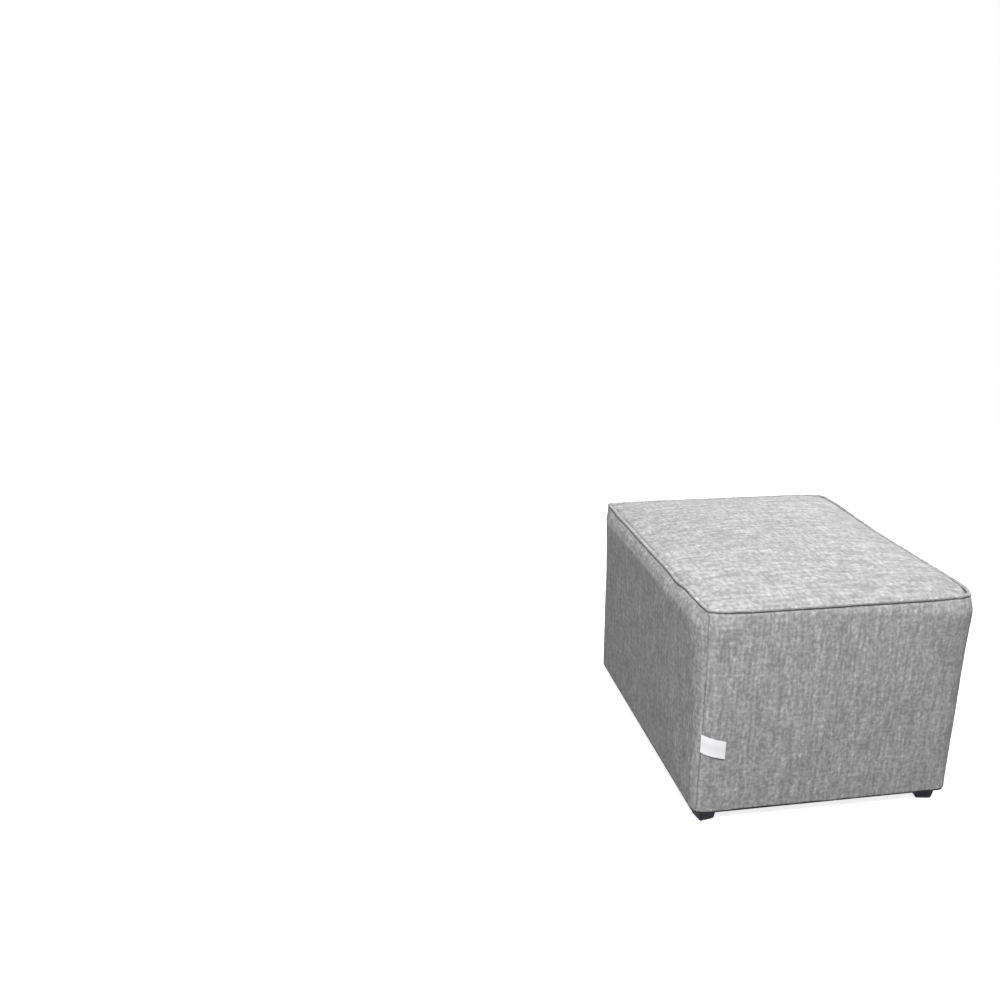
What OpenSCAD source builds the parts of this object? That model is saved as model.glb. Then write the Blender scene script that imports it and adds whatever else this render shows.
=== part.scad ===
// Upholstered ottoman: a pine frame with boarded sides, webbing and foam under a piped cloth cover.
// It stands on four feet whose studs screw into the corner posts.
// The origin is the centre of the footprint on the floor, with +Z up.
// X runs along the short side and Y along the long side. The side with the sewn label faces -Y.

/* [Cover] */
// Width across the short side, at the widest line
cover_w = 450; // [400:5:520]
// Length along the long side, at the widest line
cover_l = 550; // [480:5:640]
// Height of the sides, from the bottom edge to the piping
side_h = 338; // [290:2:400]
// Rise of the crowned top above the piping
crown_rise = 18; // [8:1:30]
// How far each side draws in between the widest line and the bottom edge
side_draw = 8; // [4:1:12]
// Plan radius of the corners at the widest line
corner_r = 48; // [40:1:60]
// Plan radius of the corners at the bottom edge
hem_corner_r = 22; // [16:1:30]
// Height of the rounded shoulder under the piping
shoulder_h = 20; // [14:1:28]
// Distance that the shoulder turns in, from the widest line to the seam
shoulder_in = 11; // [7.6:0.2:12]
// Thickness of the cover cloth
cloth_t = 1.5; // [1:0.1:2]
// Width of the cloth turned under the frame
hem_w = 22; // [18:1:26]
// Radius of the fold along the bottom edge
fold_r = 3; // [2.4:0.2:5]

/* [Piping and label] */
// Diameter of the covered piping
piping_d = 6; // [5:0.5:7]
// Diameter of the cord inside the piping
cord_d = 4; // [3:0.5:4.5]
// Length of the label, measured from its seam
label_w = 41; // [30:1:60]
// Height of the label
label_h = 30; // [20:1:40]
// Height of the label's centre above the bottom edge, at its seam
label_rise = 122; // [60:2:200]
// Angle at which the label droops
label_droop = 14; // [0:1:25]
// Thickness of the folded label
label_t = 0.6; // [0.4:0.1:1]

/* [Padding] */
// Thickness of the top foam at its edge
top_foam_t = 46; // [30:2:60]
// Thickness of the wadding over the top foam
wadding_t = 3; // [1.5:0.5:3]
// Thickness of the side foam at the bottom edge
side_foam_t = 6.5; // [5:0.5:10]
// Thickness of the barrier cloth under the top foam
barrier_t = 0.6; // [0.4:0.1:1]

/* [Frame] */
// Thickness of the side boards
board_t = 3; // [2:0.5:5]
// Width of the square corner posts
post_s = 34; // [30:1:40]
// Thickness of the rails
rail_t = 20; // [16:1:25]
// Height of the top rails
top_rail_h = 50; // [40:1:70]
// Height of the bottom rails
bottom_rail_h = 60; // [52:1:80]
// Thickness of the stretcher between the long bottom rails
stretcher_t = 20; // [16:1:30]
// Height of the stretcher
stretcher_h = 40; // [30:1:50]

/* [Dowels and screws] */
// Diameter of the dowels
dowel_d = 8; // [6:1:8]
// Length of the dowels
dowel_l = 36; // [28:1:36]
// Drop from a rail's top edge to its first dowel
dowel_drop = 12; // [10:1:14]
// Distance between the two dowels of a joint
dowel_pitch = 18; // [12:1:18]
// Diameter of the stretcher screws
screw_d = 5; // [4:0.5:6]
// Length of the stretcher screws
screw_l = 60; // [45:5:80]
// Diameter of the heads of the stretcher screws
screw_head_d = 10; // [9:0.5:12]
// Height of the heads of the stretcher screws
screw_head_h = 3; // [2:0.5:4]
// Height between the two screws at one end of the stretcher
screw_pitch = 20; // [14:1:26]

/* [Webbing] */
// Width of the webbing straps
strap_w = 50; // [40:2:60]
// Thickness of the webbing straps
strap_t = 1.2; // [1:0.1:1.5]
// Distance between the straps that run lengthwise
long_strap_pitch = 118; // [90:2:120]
// Distance between the straps that run across
cross_strap_pitch = 108; // [80:2:120]
// Distance from the straps' ends to the rails' outer faces
strap_back = 4; // [2:1:8]
// Length over which a strap steps down onto the rail
strap_step = 8; // [5:1:12]

/* [Staples and dust cover] */
// Width of a staple
staple_w = 12; // [8:1:14]
// Length of a staple's legs
staple_l = 10; // [8:1:12]
// Thickness of the staple wire
wire_t = 0.9; // [0.7:0.1:1]
// Distance between the staples of the boards
board_staple_pitch = 90; // [60:5:120]
// Distance between the staples of the dust cover
dust_staple_pitch = 60; // [40:5:90]
// Thickness of the dust cover
dust_t = 0.7; // [0.4:0.1:1]
// Distance from the bottom edge of the cover to the dust cover's edge
dust_in = 10; // [6:1:14]
// Plan radius of the dust cover's corners
dust_corner_r = 14; // [8:1:20]

/* [Feet] */
// Width of a foot at its top
foot_top_w = 34; // [34:1:40]
// Width of a foot at its bottom
foot_base_w = 26; // [25:1:30]
// Height of a foot without its pad
foot_h = 19.4; // [16:0.2:40]
// Radius that rounds a foot's upright edges
foot_edge_r = 3; // [2:0.5:4]
// Angle that a tight foot stands at, mirrored from left to right
foot_turn = 10; // [0:1:20]
// Width of the pad under a foot
pad_w = 24; // [18:1:24]
// Thickness of the pad under a foot
pad_t = 2; // [1:0.5:4]
// Diameter of the threaded stud
stud_d = 8; // [6:1:8]
// Depth of the stud in the foot
stud_in = 12; // [8:1:14]
// Outer diameter of the washer
washer_d = 24; // [18:1:28]
// Thickness of the washer
washer_t = 1.5; // [1:0.1:2]
// Outer diameter of the threaded insert
insert_d = 12; // [11:0.5:13]
// Length of the threaded insert
insert_l = 16; // [12:1:16]

/* [Hidden] */
CORNERS = ["front_right", "back_right", "back_left", "front_left"];
SIDES = ["front", "right", "back", "left"];

// Clearance between soft pieces that lie side by side
cloth_gap = 0.3;
// Clearance of a foot and of its washer from what they tighten against
seat_gap = 0.2;
// Radial clearance of the stud in the insert
thread_gap = 0.05;
// Radial clearance of glued and driven pieces in their holes
glue_gap = 0.05;
// Radial clearance of the stud in the washer
washer_gap = 0.3;
// Radial clearance of the stud in the dust cover
dust_hole_gap = 1;
// Spare depth past the end of a dowel, a screw or a stud
end_gap = 1;
// Distance that the stud reaches past the insert
stud_over = 1.5;
// Spare depth of a post's bore past the stud
bore_spare = 3;
// Overrun of every cut
cut = 1;
// Least corner radius where the turned-under cloth is mitred
mitre_r = 1;
// Distance of the dust cover's staples from its edge
dust_staple_in = 7;
// Distance from a strap's end to its first staple
strap_staple_in = 5;
// Distance between the two staples of a strap's end
strap_staple_pitch = 24;

// Steps round half a corner, along a side, round the shoulder, round the fold and over the crown
arc_steps = 4;
run_steps = 3;
shoulder_steps = 4;
fold_steps = 2;
crown_shares = [1, 0.97, 0.9, 0.78, 0.62, 0.42, 0.2];
crown_power = 3;
taper_steps = 2;
$fn = 48;

// Heights, from the floor up
foot_z = pad_t;
washer_z = foot_z + foot_h + seat_gap;
dust_z = washer_z + washer_t + seat_gap;
hem_z = dust_z + dust_t;
frame_z = hem_z + cloth_t;
piping_z = hem_z + side_h;
seam_z = piping_z - piping_d / 2 + 2 * cloth_gap;
wide_z = seam_z - shoulder_h;
fold_z = hem_z + fold_r;
crown_h = crown_rise - cloth_t / 2;
wadding_z = piping_z - cloth_t / 2 - wadding_t;
seat_z = wadding_z - top_foam_t;
barrier_z = seat_z - barrier_t;
frame_top_z = barrier_z - 2 * strap_t;

// Insets from the widest line, and the half sizes of the frame
piping_in = shoulder_in - piping_d / 2 - cloth_gap;
top_edge_in = shoulder_in + cloth_gap;
board_in = side_draw + cloth_t + side_foam_t;
frame_x = cover_w / 2 - board_in - board_t;
frame_y = cover_l / 2 - board_in - board_t;
hem_x = cover_w / 2 - side_draw;
hem_y = cover_l / 2 - side_draw;

// The rows of staples start past the dowels, and the stretcher lies halfway up the bottom rails
staple_row_in = dowel_l / 2 + end_gap + staple_w;
stretcher_z = frame_z + (bottom_rail_h - stretcher_h) / 2;

// Half sizes of the cover and of the frame, along and across a side. Side 0 faces -Y, side 1 faces +X.
function cover_along(k) = (k % 2 == 0 ? cover_w : cover_l) / 2;
function cover_across(k) = (k % 2 == 0 ? cover_l : cover_w) / 2;
function frame_along(k) = k % 2 == 0 ? frame_x : frame_y;
function frame_across(k) = k % 2 == 0 ? frame_y : frame_x;

// Share of the way up the tapered part of the side, its inset there and its corner radius
function taper_share(z) = (z - fold_z) / (wide_z - fold_z);
function side_in(z) = side_draw * (1 - taper_share(z));
function side_r(z) = hem_corner_r + (corner_r - hem_corner_r) * taper_share(z);

// Outline of the cloth in section, [inset, height, corner radius], at depth t under the outer face
function shoulder_path(t) = [
    for (i = [shoulder_steps:-1:0])
        let (a = 90 * i / shoulder_steps)
        let (d = shoulder_in - (shoulder_in - t) * cos(a))
        [d, wide_z + (shoulder_h - t) * sin(a), corner_r - d]
];
function taper_path(t, from_z) = [
    for (i = [0:taper_steps])
        let (z = from_z + (fold_z - from_z) * i / taper_steps)
        [side_in(z) + t, z, side_r(z) - t]
];
function fold_path(t) = [
    for (i = [1:fold_steps])
        let (a = 90 * i / fold_steps)
        let (d = side_draw + fold_r - (fold_r - t) * cos(a))
        [d, fold_z - (fold_r - t) * sin(a), hem_corner_r + side_draw - d]
];
function hem_path(t) = [
    [side_draw + hem_w, hem_z + t, max(hem_corner_r - hem_w, mitre_r)]
];
function side_path(t) = concat(shoulder_path(t), taper_path(t, seat_z), fold_path(t), hem_path(t));
function foam_path() = concat(taper_path(cloth_t, seat_z), fold_path(cloth_t));
function shoulder_wall_path() = concat(
    [[side_in(seat_z) + cloth_t, seat_z, side_r(seat_z) - cloth_t]],
    [for (i = [shoulder_steps:-1:0]) shoulder_path(cloth_t)[i]]
);

// Point of a rounded outline at station s, from the middle of one corner to the middle of the next
stations = 2 * arc_steps + run_steps + 1;
function outline_point(along, across, p, s) =
    let (x = along - p[0] - p[2], y = across - p[0] - p[2])
    let (late = s - arc_steps - run_steps - 1)
    s <= arc_steps ? let (a = 225 + 45 * s / arc_steps) [p[2] * cos(a) - x, p[2] * sin(a) - y, p[1]]
    : late >= 0 ? let (a = 270 + 45 * late / arc_steps) [p[2] * cos(a) + x, p[2] * sin(a) - y, p[1]]
    : [x * (2 * (s - arc_steps) / (run_steps + 1) - 1), -y - p[2], p[1]];

// Point on the flat board behind the same station
function board_point(along, across, p, s) =
    let (x = along - p[0] - p[2], end_x = along - board_in)
    let (late = s - arc_steps - run_steps - 1)
    let (arc_share = s <= arc_steps ? 1 - s / arc_steps : late / arc_steps)
    s <= arc_steps ? [-x - (end_x - x) * arc_share, board_in - across, p[1]]
    : late >= 0 ? [x + (end_x - x) * arc_share, board_in - across, p[1]]
    : [x * (2 * (s - arc_steps) / (run_steps + 1) - 1), board_in - across, p[1]];

// Closed ring of the four sides at one path entry, scaled towards the centre by a share
function turned(p, k) = k == 0 ? p : k == 1 ? [-p[1], p[0], p[2]] : k == 2 ? [-p[0], -p[1], p[2]]
    : [p[1], -p[0], p[2]];
function ring(p, share, z) = [
    for (k = [0:3])
        for (s = [0:stations - 1])
            let (q = turned(outline_point(cover_along(k), cover_across(k), p, s), k))
            [q[0] * share, q[1] * share, z]
];
function crown_z(base, share) = base + crown_h * (1 - pow(share, crown_power));
top_edge = [top_edge_in, 0, corner_r - top_edge_in];

// Solid swept through open stations, each a closed loop whose second half runs back beside the first
module swept(loops) {
    n = len(loops[0]);
    last = len(loops) - 1;
    walls = [
        for (s = [0:last - 1])
            for (k = [0:n - 1])
                let (a = s * n + k, b = a + n, c = (s + 1) * n + (k + 1) % n, d = s * n + (k + 1) % n)
                each [[a, b, c], [a, c, d]]
    ];
    ends = [
        for (k = [0:n / 2 - 2])
            let (a = k, b = k + 1, c = n - 2 - k, d = n - 1 - k, e = last * n)
            each [[a, b, c], [a, c, d], [e + c, e + b, e + a], [e + d, e + c, e + a]]
    ];
    polyhedron(points = [for (loop = loops) each loop], faces = concat(walls, ends));
}

// Solid closed by a point below and a point above, through rings of equal length
module ringed(low, rings, high) {
    m = len(rings[0]);
    top = 1 + m * len(rings);
    fans = [
        for (j = [0:m - 1])
            let (n = (j + 1) % m)
            each [[0, 1 + j, 1 + n], [top, top - m + n, top - m + j]]
    ];
    walls = [
        for (i = [0:len(rings) - 2])
            for (j = [0:m - 1])
                let (a = 1 + i * m + j, d = 1 + i * m + (j + 1) % m)
                each [[a, a + m, d + m], [a, d + m, d]]
    ];
    polyhedron(points = concat([low], [for (r = rings) each r], [high]), faces = concat(fans, walls));
}

// Crowned sheet of thickness t whose underside meets the edge at height base
module crowned_sheet(base, t) {
    under = [for (i = [len(crown_shares) - 1:-1:0]) ring(top_edge, crown_shares[i],
        crown_z(base, crown_shares[i]))];
    over = [for (share = crown_shares) ring(top_edge, share, crown_z(base + t, share))];
    ringed([0, 0, crown_z(base, 0)], concat(under, over), [0, 0, crown_z(base + t, 0)]);
}

module at_side(k) {
    rotate([0, 0, 90 * k]) children();
}

// Place of a corner's post centre, on side c at its far end
module at_corner(c) {
    at_side(c) translate([frame_along(c) - post_s / 2, post_s / 2 - frame_across(c), 0]) children();
}

module rounded_plate(half_x, half_y, r, t) {
    linear_extrude(t) {
        square([2 * half_x, 2 * (half_y - r)], center = true);
        square([2 * (half_x - r), 2 * half_y], center = true);
        for (x = [-1, 1], y = [-1, 1]) translate([x * (half_x - r), y * (half_y - r)]) circle(r);
    }
}

// Staple lying in the XZ plane: its crown's outer face is at z = 0 and its legs point down
module staple(grow) {
    translate([0, wire_t / 2 + grow, 0]) rotate([90, 0, 0]) linear_extrude(wire_t + 2 * grow) {
        translate([-staple_w / 2 - grow, -wire_t - grow])
            square([staple_w + 2 * grow, wire_t + grow + (grow > 0 ? cut : 0)]);
        for (x = [-1, 1])
            translate([x * (staple_w - wire_t) / 2 - wire_t / 2 - grow, -staple_l - grow])
                square([wire_t + 2 * grow, staple_l]);
    }
}

// Places of a row of staples along a side, from post to post
function row_places(k, pitch) =
    let (half = frame_along(k) - post_s - staple_row_in, n = max(1, floor(2 * half / pitch)))
    [for (i = [0:n]) half * (2 * i / n - 1)];

module board_staple_row(k, grow) {
    for (x = row_places(k, board_staple_pitch))
        for (z = [frame_z + bottom_rail_h / 2, frame_top_z - top_rail_h / 2])
            at_side(k) translate([x, -frame_across(k) - board_t, z]) rotate([90, 0, 0]) staple(grow);
}

module dust_staple_row(k, grow) {
    across = (k % 2 == 0 ? hem_y : hem_x) - dust_in - dust_staple_in;
    for (x = row_places(k, dust_staple_pitch))
        at_side(k) translate([x, -across, dust_z - wire_t]) rotate([180, 0, 0]) staple(grow);
}

// Webbing staples at both ends of the straps that end on side k's rail
strap_counts = [3, 4];
function strap_pitch(k) = k % 2 == 0 ? long_strap_pitch : cross_strap_pitch;
function strap_places(k) =
    let (n = strap_counts[k % 2]) [for (i = [0:n - 1]) strap_pitch(k) * (i - (n - 1) / 2)];
module webbing_staple_row(k, grow) {
    for (x = strap_places(k), side = [-1, 1])
        at_side(k)
            translate([x + side * strap_staple_pitch / 2,
                strap_back + strap_staple_in - frame_across(k), frame_top_z + strap_t])
            staple(grow);
}

module dowel(grow) {
    rotate([0, 90, 0]) cylinder(d = dowel_d + 2 * grow, h = dowel_l + (grow > 0 ? 2 * end_gap : 0),
        center = true);
}

// Dowels at one end of side k's rail whose top edge is at height z
module dowel_pair(k, end, z, grow) {
    for (i = [0, 1])
        at_side(k)
            translate([end * (frame_along(k) - post_s), rail_t / 2 - frame_across(k),
                z - dowel_drop - i * dowel_pitch])
            dowel(grow);
}

module joint_dowels(k, end, grow) {
    dowel_pair(k, end, frame_z + bottom_rail_h, grow);
    dowel_pair(k, end, frame_top_z, grow);
}

module corner_post(c) {
    color("burlywood") difference() {
        at_corner(c) translate([-post_s / 2, -post_s / 2, frame_z])
            cube([post_s, post_s, frame_top_z - frame_z]);
        joint_dowels(c, 1, glue_gap);
        joint_dowels((c + 1) % 4, -1, glue_gap);
        at_corner(c) translate([0, 0, frame_z - cut])
            cylinder(d = insert_d + 2 * glue_gap, h = cut + insert_l + stud_over + bore_spare);
    }
}

module rail_blank(k, z, h) {
    half = frame_along(k) - post_s;
    at_side(k) translate([-half, -frame_across(k), z]) cube([2 * half, rail_t, h]);
}

module top_rail(k) {
    color("burlywood") difference() {
        rail_blank(k, frame_top_z - top_rail_h, top_rail_h);
        for (end = [-1, 1]) dowel_pair(k, end, frame_top_z, glue_gap);
        board_staple_row(k, glue_gap);
        webbing_staple_row(k, glue_gap);
    }
}

module bottom_rail(k) {
    color("burlywood") difference() {
        rail_blank(k, frame_z, bottom_rail_h);
        for (end = [-1, 1]) dowel_pair(k, end, frame_z + bottom_rail_h, glue_gap);
        board_staple_row(k, glue_gap);
        dust_staple_row(k, glue_gap);
        if (k % 2 == 1) stretcher_screw_pair(k, glue_gap);
    }
}

// Two screws through side k's bottom rail into the end of the stretcher
module stretcher_screw_pair(k, grow) {
    head_d = screw_head_d + 2 * grow;
    for (side = [-1, 1])
        at_side(k)
            translate([0, -frame_across(k), stretcher_z + (stretcher_h + side * screw_pitch) / 2])
            rotate([-90, 0, 0]) {
                cylinder(d = screw_d + 2 * grow, h = screw_l + (grow > 0 ? end_gap : 0));
                cylinder(d1 = head_d, d2 = screw_d + 2 * grow, h = screw_head_h);
            }
}

module bottom_stretcher() {
    half = frame_x - rail_t;
    color("burlywood") difference() {
        translate([-half, -stretcher_t / 2, stretcher_z])
            cube([2 * half, stretcher_t, stretcher_h]);
        for (k = [1, 3]) stretcher_screw_pair(k, glue_gap);
    }
}

module frame_dowels() {
    color("wheat") for (k = [0:3], end = [-1, 1]) joint_dowels(k, end, 0);
}

module stretcher_screws() {
    color("silver") for (k = [1, 3]) stretcher_screw_pair(k, 0);
}

module threaded_inserts() {
    color("goldenrod") for (c = [0:3]) at_corner(c) difference() {
        translate([0, 0, frame_z]) cylinder(d = insert_d, h = insert_l);
        translate([0, 0, frame_z - cut]) cylinder(d = stud_d + 2 * thread_gap, h = insert_l + 2 * cut);
    }
}

// The boards on the short sides cover the edges of the boards on the long sides
module side_board(k) {
    half = frame_along(k) + (k % 2 == 0 ? board_t : 0);
    color("sienna") difference() {
        at_side(k) translate([-half, -frame_across(k) - board_t, frame_z])
            cube([2 * half, board_t, frame_top_z - frame_z]);
        board_staple_row(k, glue_gap);
    }
}

module board_staples() {
    color("silver") for (k = [0:3]) board_staple_row(k, 0);
}

module webbing_lengthwise() {
    half = frame_y - strap_back;
    color("dimgray") difference() {
        for (x = strap_places(0))
            translate([x - strap_w / 2, -half, frame_top_z]) cube([strap_w, 2 * half, strap_t]);
        for (k = [0, 2]) webbing_staple_row(k, glue_gap);
    }
}

// The crosswise straps pass over the lengthwise ones and step down onto the rails
module webbing_crosswise() {
    half = frame_x - strap_back;
    high = strap_places(0)[len(strap_places(0)) - 1] + strap_w / 2 + strap_t;
    low = high + strap_step;
    under = [[-half, 0], [-low, 0], [-high, strap_t], [high, strap_t], [low, 0], [half, 0]];
    over = [for (i = [len(under) - 1:-1:0]) [under[i][0], under[i][1] + strap_t]];
    color("dimgray") difference() {
        for (y = strap_places(1))
            translate([0, y + strap_w / 2, frame_top_z]) rotate([90, 0, 0])
                linear_extrude(strap_w) polygon(concat(under, over));
        for (k = [1, 3]) webbing_staple_row(k, glue_gap);
    }
}

module webbing_staples() {
    color("silver") for (k = [0:3]) webbing_staple_row(k, 0);
}

module barrier_cloth() {
    color("whitesmoke") translate([-frame_x, -frame_y, barrier_z])
        cube([2 * frame_x, 2 * frame_y, barrier_t]);
}

module top_foam() {
    wall = [for (p = shoulder_wall_path()) ring(p, 1, p[1])];
    crown = [for (share = crown_shares) ring(top_edge, share, crown_z(wadding_z, share))];
    color("lemonchiffon")
        ringed([0, 0, seat_z], concat(wall, crown), [0, 0, crown_z(wadding_z, 0)]);
}

module top_wadding() {
    color("white") crowned_sheet(wadding_z, wadding_t);
}

module side_foam(k) {
    path = foam_path();
    n = len(path);
    color("lemonchiffon") at_side(k) swept([
        for (s = [0:stations]) concat(
            [for (p = path) outline_point(cover_along(k), cover_across(k), p, s)],
            [for (i = [n - 1:-1:0]) board_point(cover_along(k), cover_across(k), path[i], s)]
        )
    ]);
}

module top_cover_panel() {
    color("lightgray") crowned_sheet(piping_z - cloth_t / 2, cloth_t);
}

module side_panel(k) {
    path = concat(side_path(0), [for (i = [len(side_path(0)) - 1:-1:0]) side_path(cloth_t)[i]]);
    color("darkgray") difference() {
        at_side(k) swept([
            for (s = [0:stations])
                [for (p = path) outline_point(cover_along(k), cover_across(k), p, s)]
        ]);
        dust_staple_row(k, glue_gap);
    }
}

// Tube round the top edge, of outer diameter d and bore b
module edge_tube(d, b) {
    r = corner_r - piping_in;
    x = cover_w / 2 - corner_r;
    y = cover_l / 2 - corner_r;
    translate([0, 0, piping_z]) {
        for (k = [0:3])
            rotate([0, 0, 90 * k]) {
                along = k % 2 == 0 ? x : y;
                across = k % 2 == 0 ? y : x;
                translate([along, -across, 0]) rotate([0, 0, -90])
                    rotate_extrude(angle = 90) translate([r, 0]) tube_section(d, b);
                translate([-along, -across - r, 0]) rotate([90, 0, 90])
                    linear_extrude(2 * along) tube_section(d, b);
            }
    }
}

module tube_section(d, b) {
    difference() {
        circle(d = d);
        if (b > 0) circle(d = b);
    }
}

module piping_sleeve() {
    color("darkgray") edge_tube(piping_d, cord_d);
}

module piping_cord() {
    color("white") edge_tube(cord_d, 0);
}

// Point on the label at distance u from the corner seam, off the cover's outer face
function label_point(u, z, off) =
    let (r = side_r(z) + off, d = side_in(z) - off, arc = r * PI / 4)
    let (x = cover_w / 2 - d - r, y = cover_l / 2 - d - r, a = 225 + u / r * 180 / PI)
    u < arc ? [r * cos(a) - x, r * sin(a) - y, z] : [u - arc - x, -y - r, z];
label_steps = 10;

module label() {
    color("white") swept([
        for (i = [0:label_steps])
            let (u = label_w * i / label_steps)
            let (z = hem_z + label_rise - u * tan(label_droop))
            [
                label_point(u, z + label_h / 2, cloth_gap + label_t),
                label_point(u, z - label_h / 2, cloth_gap + label_t),
                label_point(u, z - label_h / 2, cloth_gap),
                label_point(u, z + label_h / 2, cloth_gap)
            ]
    ]);
}

module dust_cover() {
    color("#2b2b2b") difference() {
        translate([0, 0, dust_z]) rounded_plate(hem_x - dust_in, hem_y - dust_in, dust_corner_r, dust_t);
        for (k = [0:3]) dust_staple_row(k, glue_gap);
        for (c = [0:3]) at_corner(c) translate([0, 0, dust_z - cut])
            cylinder(d = stud_d + 2 * dust_hole_gap, h = dust_t + 2 * cut);
    }
}

module dust_cover_staples() {
    color("silver") for (k = [0:3]) dust_staple_row(k, 0);
}

// Turns what follows to the angle at which the foot of a corner comes tight
module foot_turned(c) {
    side = c < 2 ? -1 : 1;
    rotate([0, 0, side * foot_turn]) children();
}

// Tapered block: two wedges that cross, with a cone that rounds the upright edges
module foot_block() {
    top_r = (foot_top_w / 2 - foot_edge_r) * sqrt(2) + foot_edge_r;
    base_r = (foot_base_w / 2 - foot_edge_r) * sqrt(2) + foot_edge_r;
    side_view = [
        [-foot_base_w / 2, 0], [foot_base_w / 2, 0], [foot_top_w / 2, foot_h], [-foot_top_w / 2, foot_h]
    ];
    intersection() {
        rotate([90, 0, 0]) linear_extrude(foot_top_w, center = true) polygon(side_view);
        rotate([90, 0, 90]) linear_extrude(foot_top_w, center = true) polygon(side_view);
        cylinder(r1 = base_r, r2 = top_r, h = foot_h);
    }
}

module foot(c) {
    color("#2c2b32") at_corner(c) difference() {
        foot_turned(c) translate([0, 0, foot_z]) foot_block();
        translate([0, 0, foot_z + foot_h - stud_in]) cylinder(d = stud_d, h = stud_in + cut);
    }
}

module foot_stud(c) {
    low = foot_z + foot_h - stud_in;
    color("silver") at_corner(c) translate([0, 0, low])
        cylinder(d = stud_d, h = frame_z + insert_l + stud_over - low);
}

module foot_washer(c) {
    color("silver") at_corner(c) translate([0, 0, washer_z]) difference() {
        cylinder(d = washer_d, h = washer_t);
        translate([0, 0, -cut]) cylinder(d = stud_d + 2 * washer_gap, h = washer_t + 2 * cut);
    }
}

module foot_pad(c) {
    color("#4a4a4a") at_corner(c) foot_turned(c) translate([-pad_w / 2, -pad_w / 2, 0])
        cube([pad_w, pad_w, pad_t]);
}

for (c = [0:3]) {
    corner_post(c);
    foot(c);
    foot_stud(c);
    foot_washer(c);
    foot_pad(c);
}
for (k = [0:3]) {
    top_rail(k);
    bottom_rail(k);
    side_board(k);
    side_foam(k);
    side_panel(k);
}
bottom_stretcher();
frame_dowels();
stretcher_screws();
threaded_inserts();
board_staples();
webbing_lengthwise();
webbing_crosswise();
webbing_staples();
barrier_cloth();
top_foam();
top_wadding();
top_cover_panel();
piping_sleeve();
piping_cord();
label();
dust_cover();
dust_cover_staples();
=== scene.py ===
import math

import bpy
import numpy as np
from mathutils import Matrix, Vector, kdtree, noise


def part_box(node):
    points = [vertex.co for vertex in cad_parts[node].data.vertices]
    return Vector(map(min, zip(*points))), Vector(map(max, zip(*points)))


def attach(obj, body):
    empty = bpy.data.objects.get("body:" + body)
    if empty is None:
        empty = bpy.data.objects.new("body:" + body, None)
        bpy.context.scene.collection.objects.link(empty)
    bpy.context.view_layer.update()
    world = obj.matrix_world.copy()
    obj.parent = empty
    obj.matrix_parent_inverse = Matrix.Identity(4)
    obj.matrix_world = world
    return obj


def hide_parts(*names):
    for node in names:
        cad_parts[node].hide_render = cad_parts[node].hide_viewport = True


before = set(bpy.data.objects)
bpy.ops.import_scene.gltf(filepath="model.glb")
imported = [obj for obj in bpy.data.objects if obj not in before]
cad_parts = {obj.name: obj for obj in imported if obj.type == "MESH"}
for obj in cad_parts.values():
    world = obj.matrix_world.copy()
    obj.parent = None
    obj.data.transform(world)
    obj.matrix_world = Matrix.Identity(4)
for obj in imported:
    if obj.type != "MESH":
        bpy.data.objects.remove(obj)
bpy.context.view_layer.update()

# Pine frame
# Four square posts, eight rails and a stretcher of sawn pine, glued up as the box that carries everything.
# The faces are left as the saw made them: straight grain, a few wide growth rings and a dull surface.
CORNERS = ["front_right", "back_right", "back_left", "front_left"]
SIDES = ["front", "right", "back", "left"]


def put(tree, kind, feeds=None, **traits):
    """A node of that kind, with its settings, whose inputs take other nodes' sockets or plain values."""
    made = tree.nodes.new(kind)
    for trait, value in traits.items():
        setattr(made, trait, value)
    for key, value in (feeds or {}).items():
        socket = made.inputs[key]
        if isinstance(value, bpy.types.NodeSocket):
            tree.links.new(value, socket)
        else:
            socket.default_value = value
    return made


def maths(tree, operation, *values):
    """The result of a sum on sockets or numbers."""
    return put(tree, "ShaderNodeMath", dict(enumerate(values)), operation=operation).outputs[0]


def stretched_noise(tree, place, cell, detail=2.0, offset=0.0):
    """Noise whose cells have the given size in metres along each axis of place."""
    scaled = put(tree, "ShaderNodeVectorMath", {0: place, 1: [1 / c for c in cell]}, operation="MULTIPLY")
    moved = put(tree, "ShaderNodeVectorMath", {0: scaled.outputs[0], 1: (offset, offset, offset)})
    return put(tree, "ShaderNodeTexNoise",
               {"Vector": moved.outputs[0], "Scale": 1.0, "Detail": detail, "Roughness": 0.55}).outputs["Fac"]


def mixed(tree, share, first, second):
    """Colour between two colours."""
    return put(tree, "ShaderNodeMix", {0: share, 6: first, 7: second}, data_type="RGBA").outputs[2]


def spread(tree, share, low, high):
    """A number that goes from low to high as the share goes from 0 to 1."""
    return put(tree, "ShaderNodeMapRange", {0: share, 3: low, 4: high}).outputs[0]


def object_place(tree):
    return put(tree, "ShaderNodeTexCoord").outputs["Object"]


def add_sockets(tree, way, kinds):
    """Adds named sockets to a group, with an underscore for a space."""
    for label, kind in kinds.items():
        tree.interface.new_socket(name=label.replace("_", " "), in_out=way, socket_type="NodeSocket" + kind)


def open_group(name, **inputs):
    """A shader group that takes a place and the named inputs, and its input sockets."""
    tree = bpy.data.node_groups.new(name, "ShaderNodeTree")
    add_sockets(tree, "INPUT", {"Place": "Vector", **inputs})
    return tree, tree.nodes.new("NodeGroupInput").outputs


def close_group(tree, colour, rough, height):
    """Gives a shader group its three outputs."""
    add_sockets(tree, "OUTPUT", {"Color": "Color", "Roughness": "Float", "Height": "Float"})
    result = tree.nodes.new("NodeGroupOutput").inputs
    for label, value in (("Color", colour), ("Roughness", rough), ("Height", height)):
        tree.links.new(value, result[label])
    return tree


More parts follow.
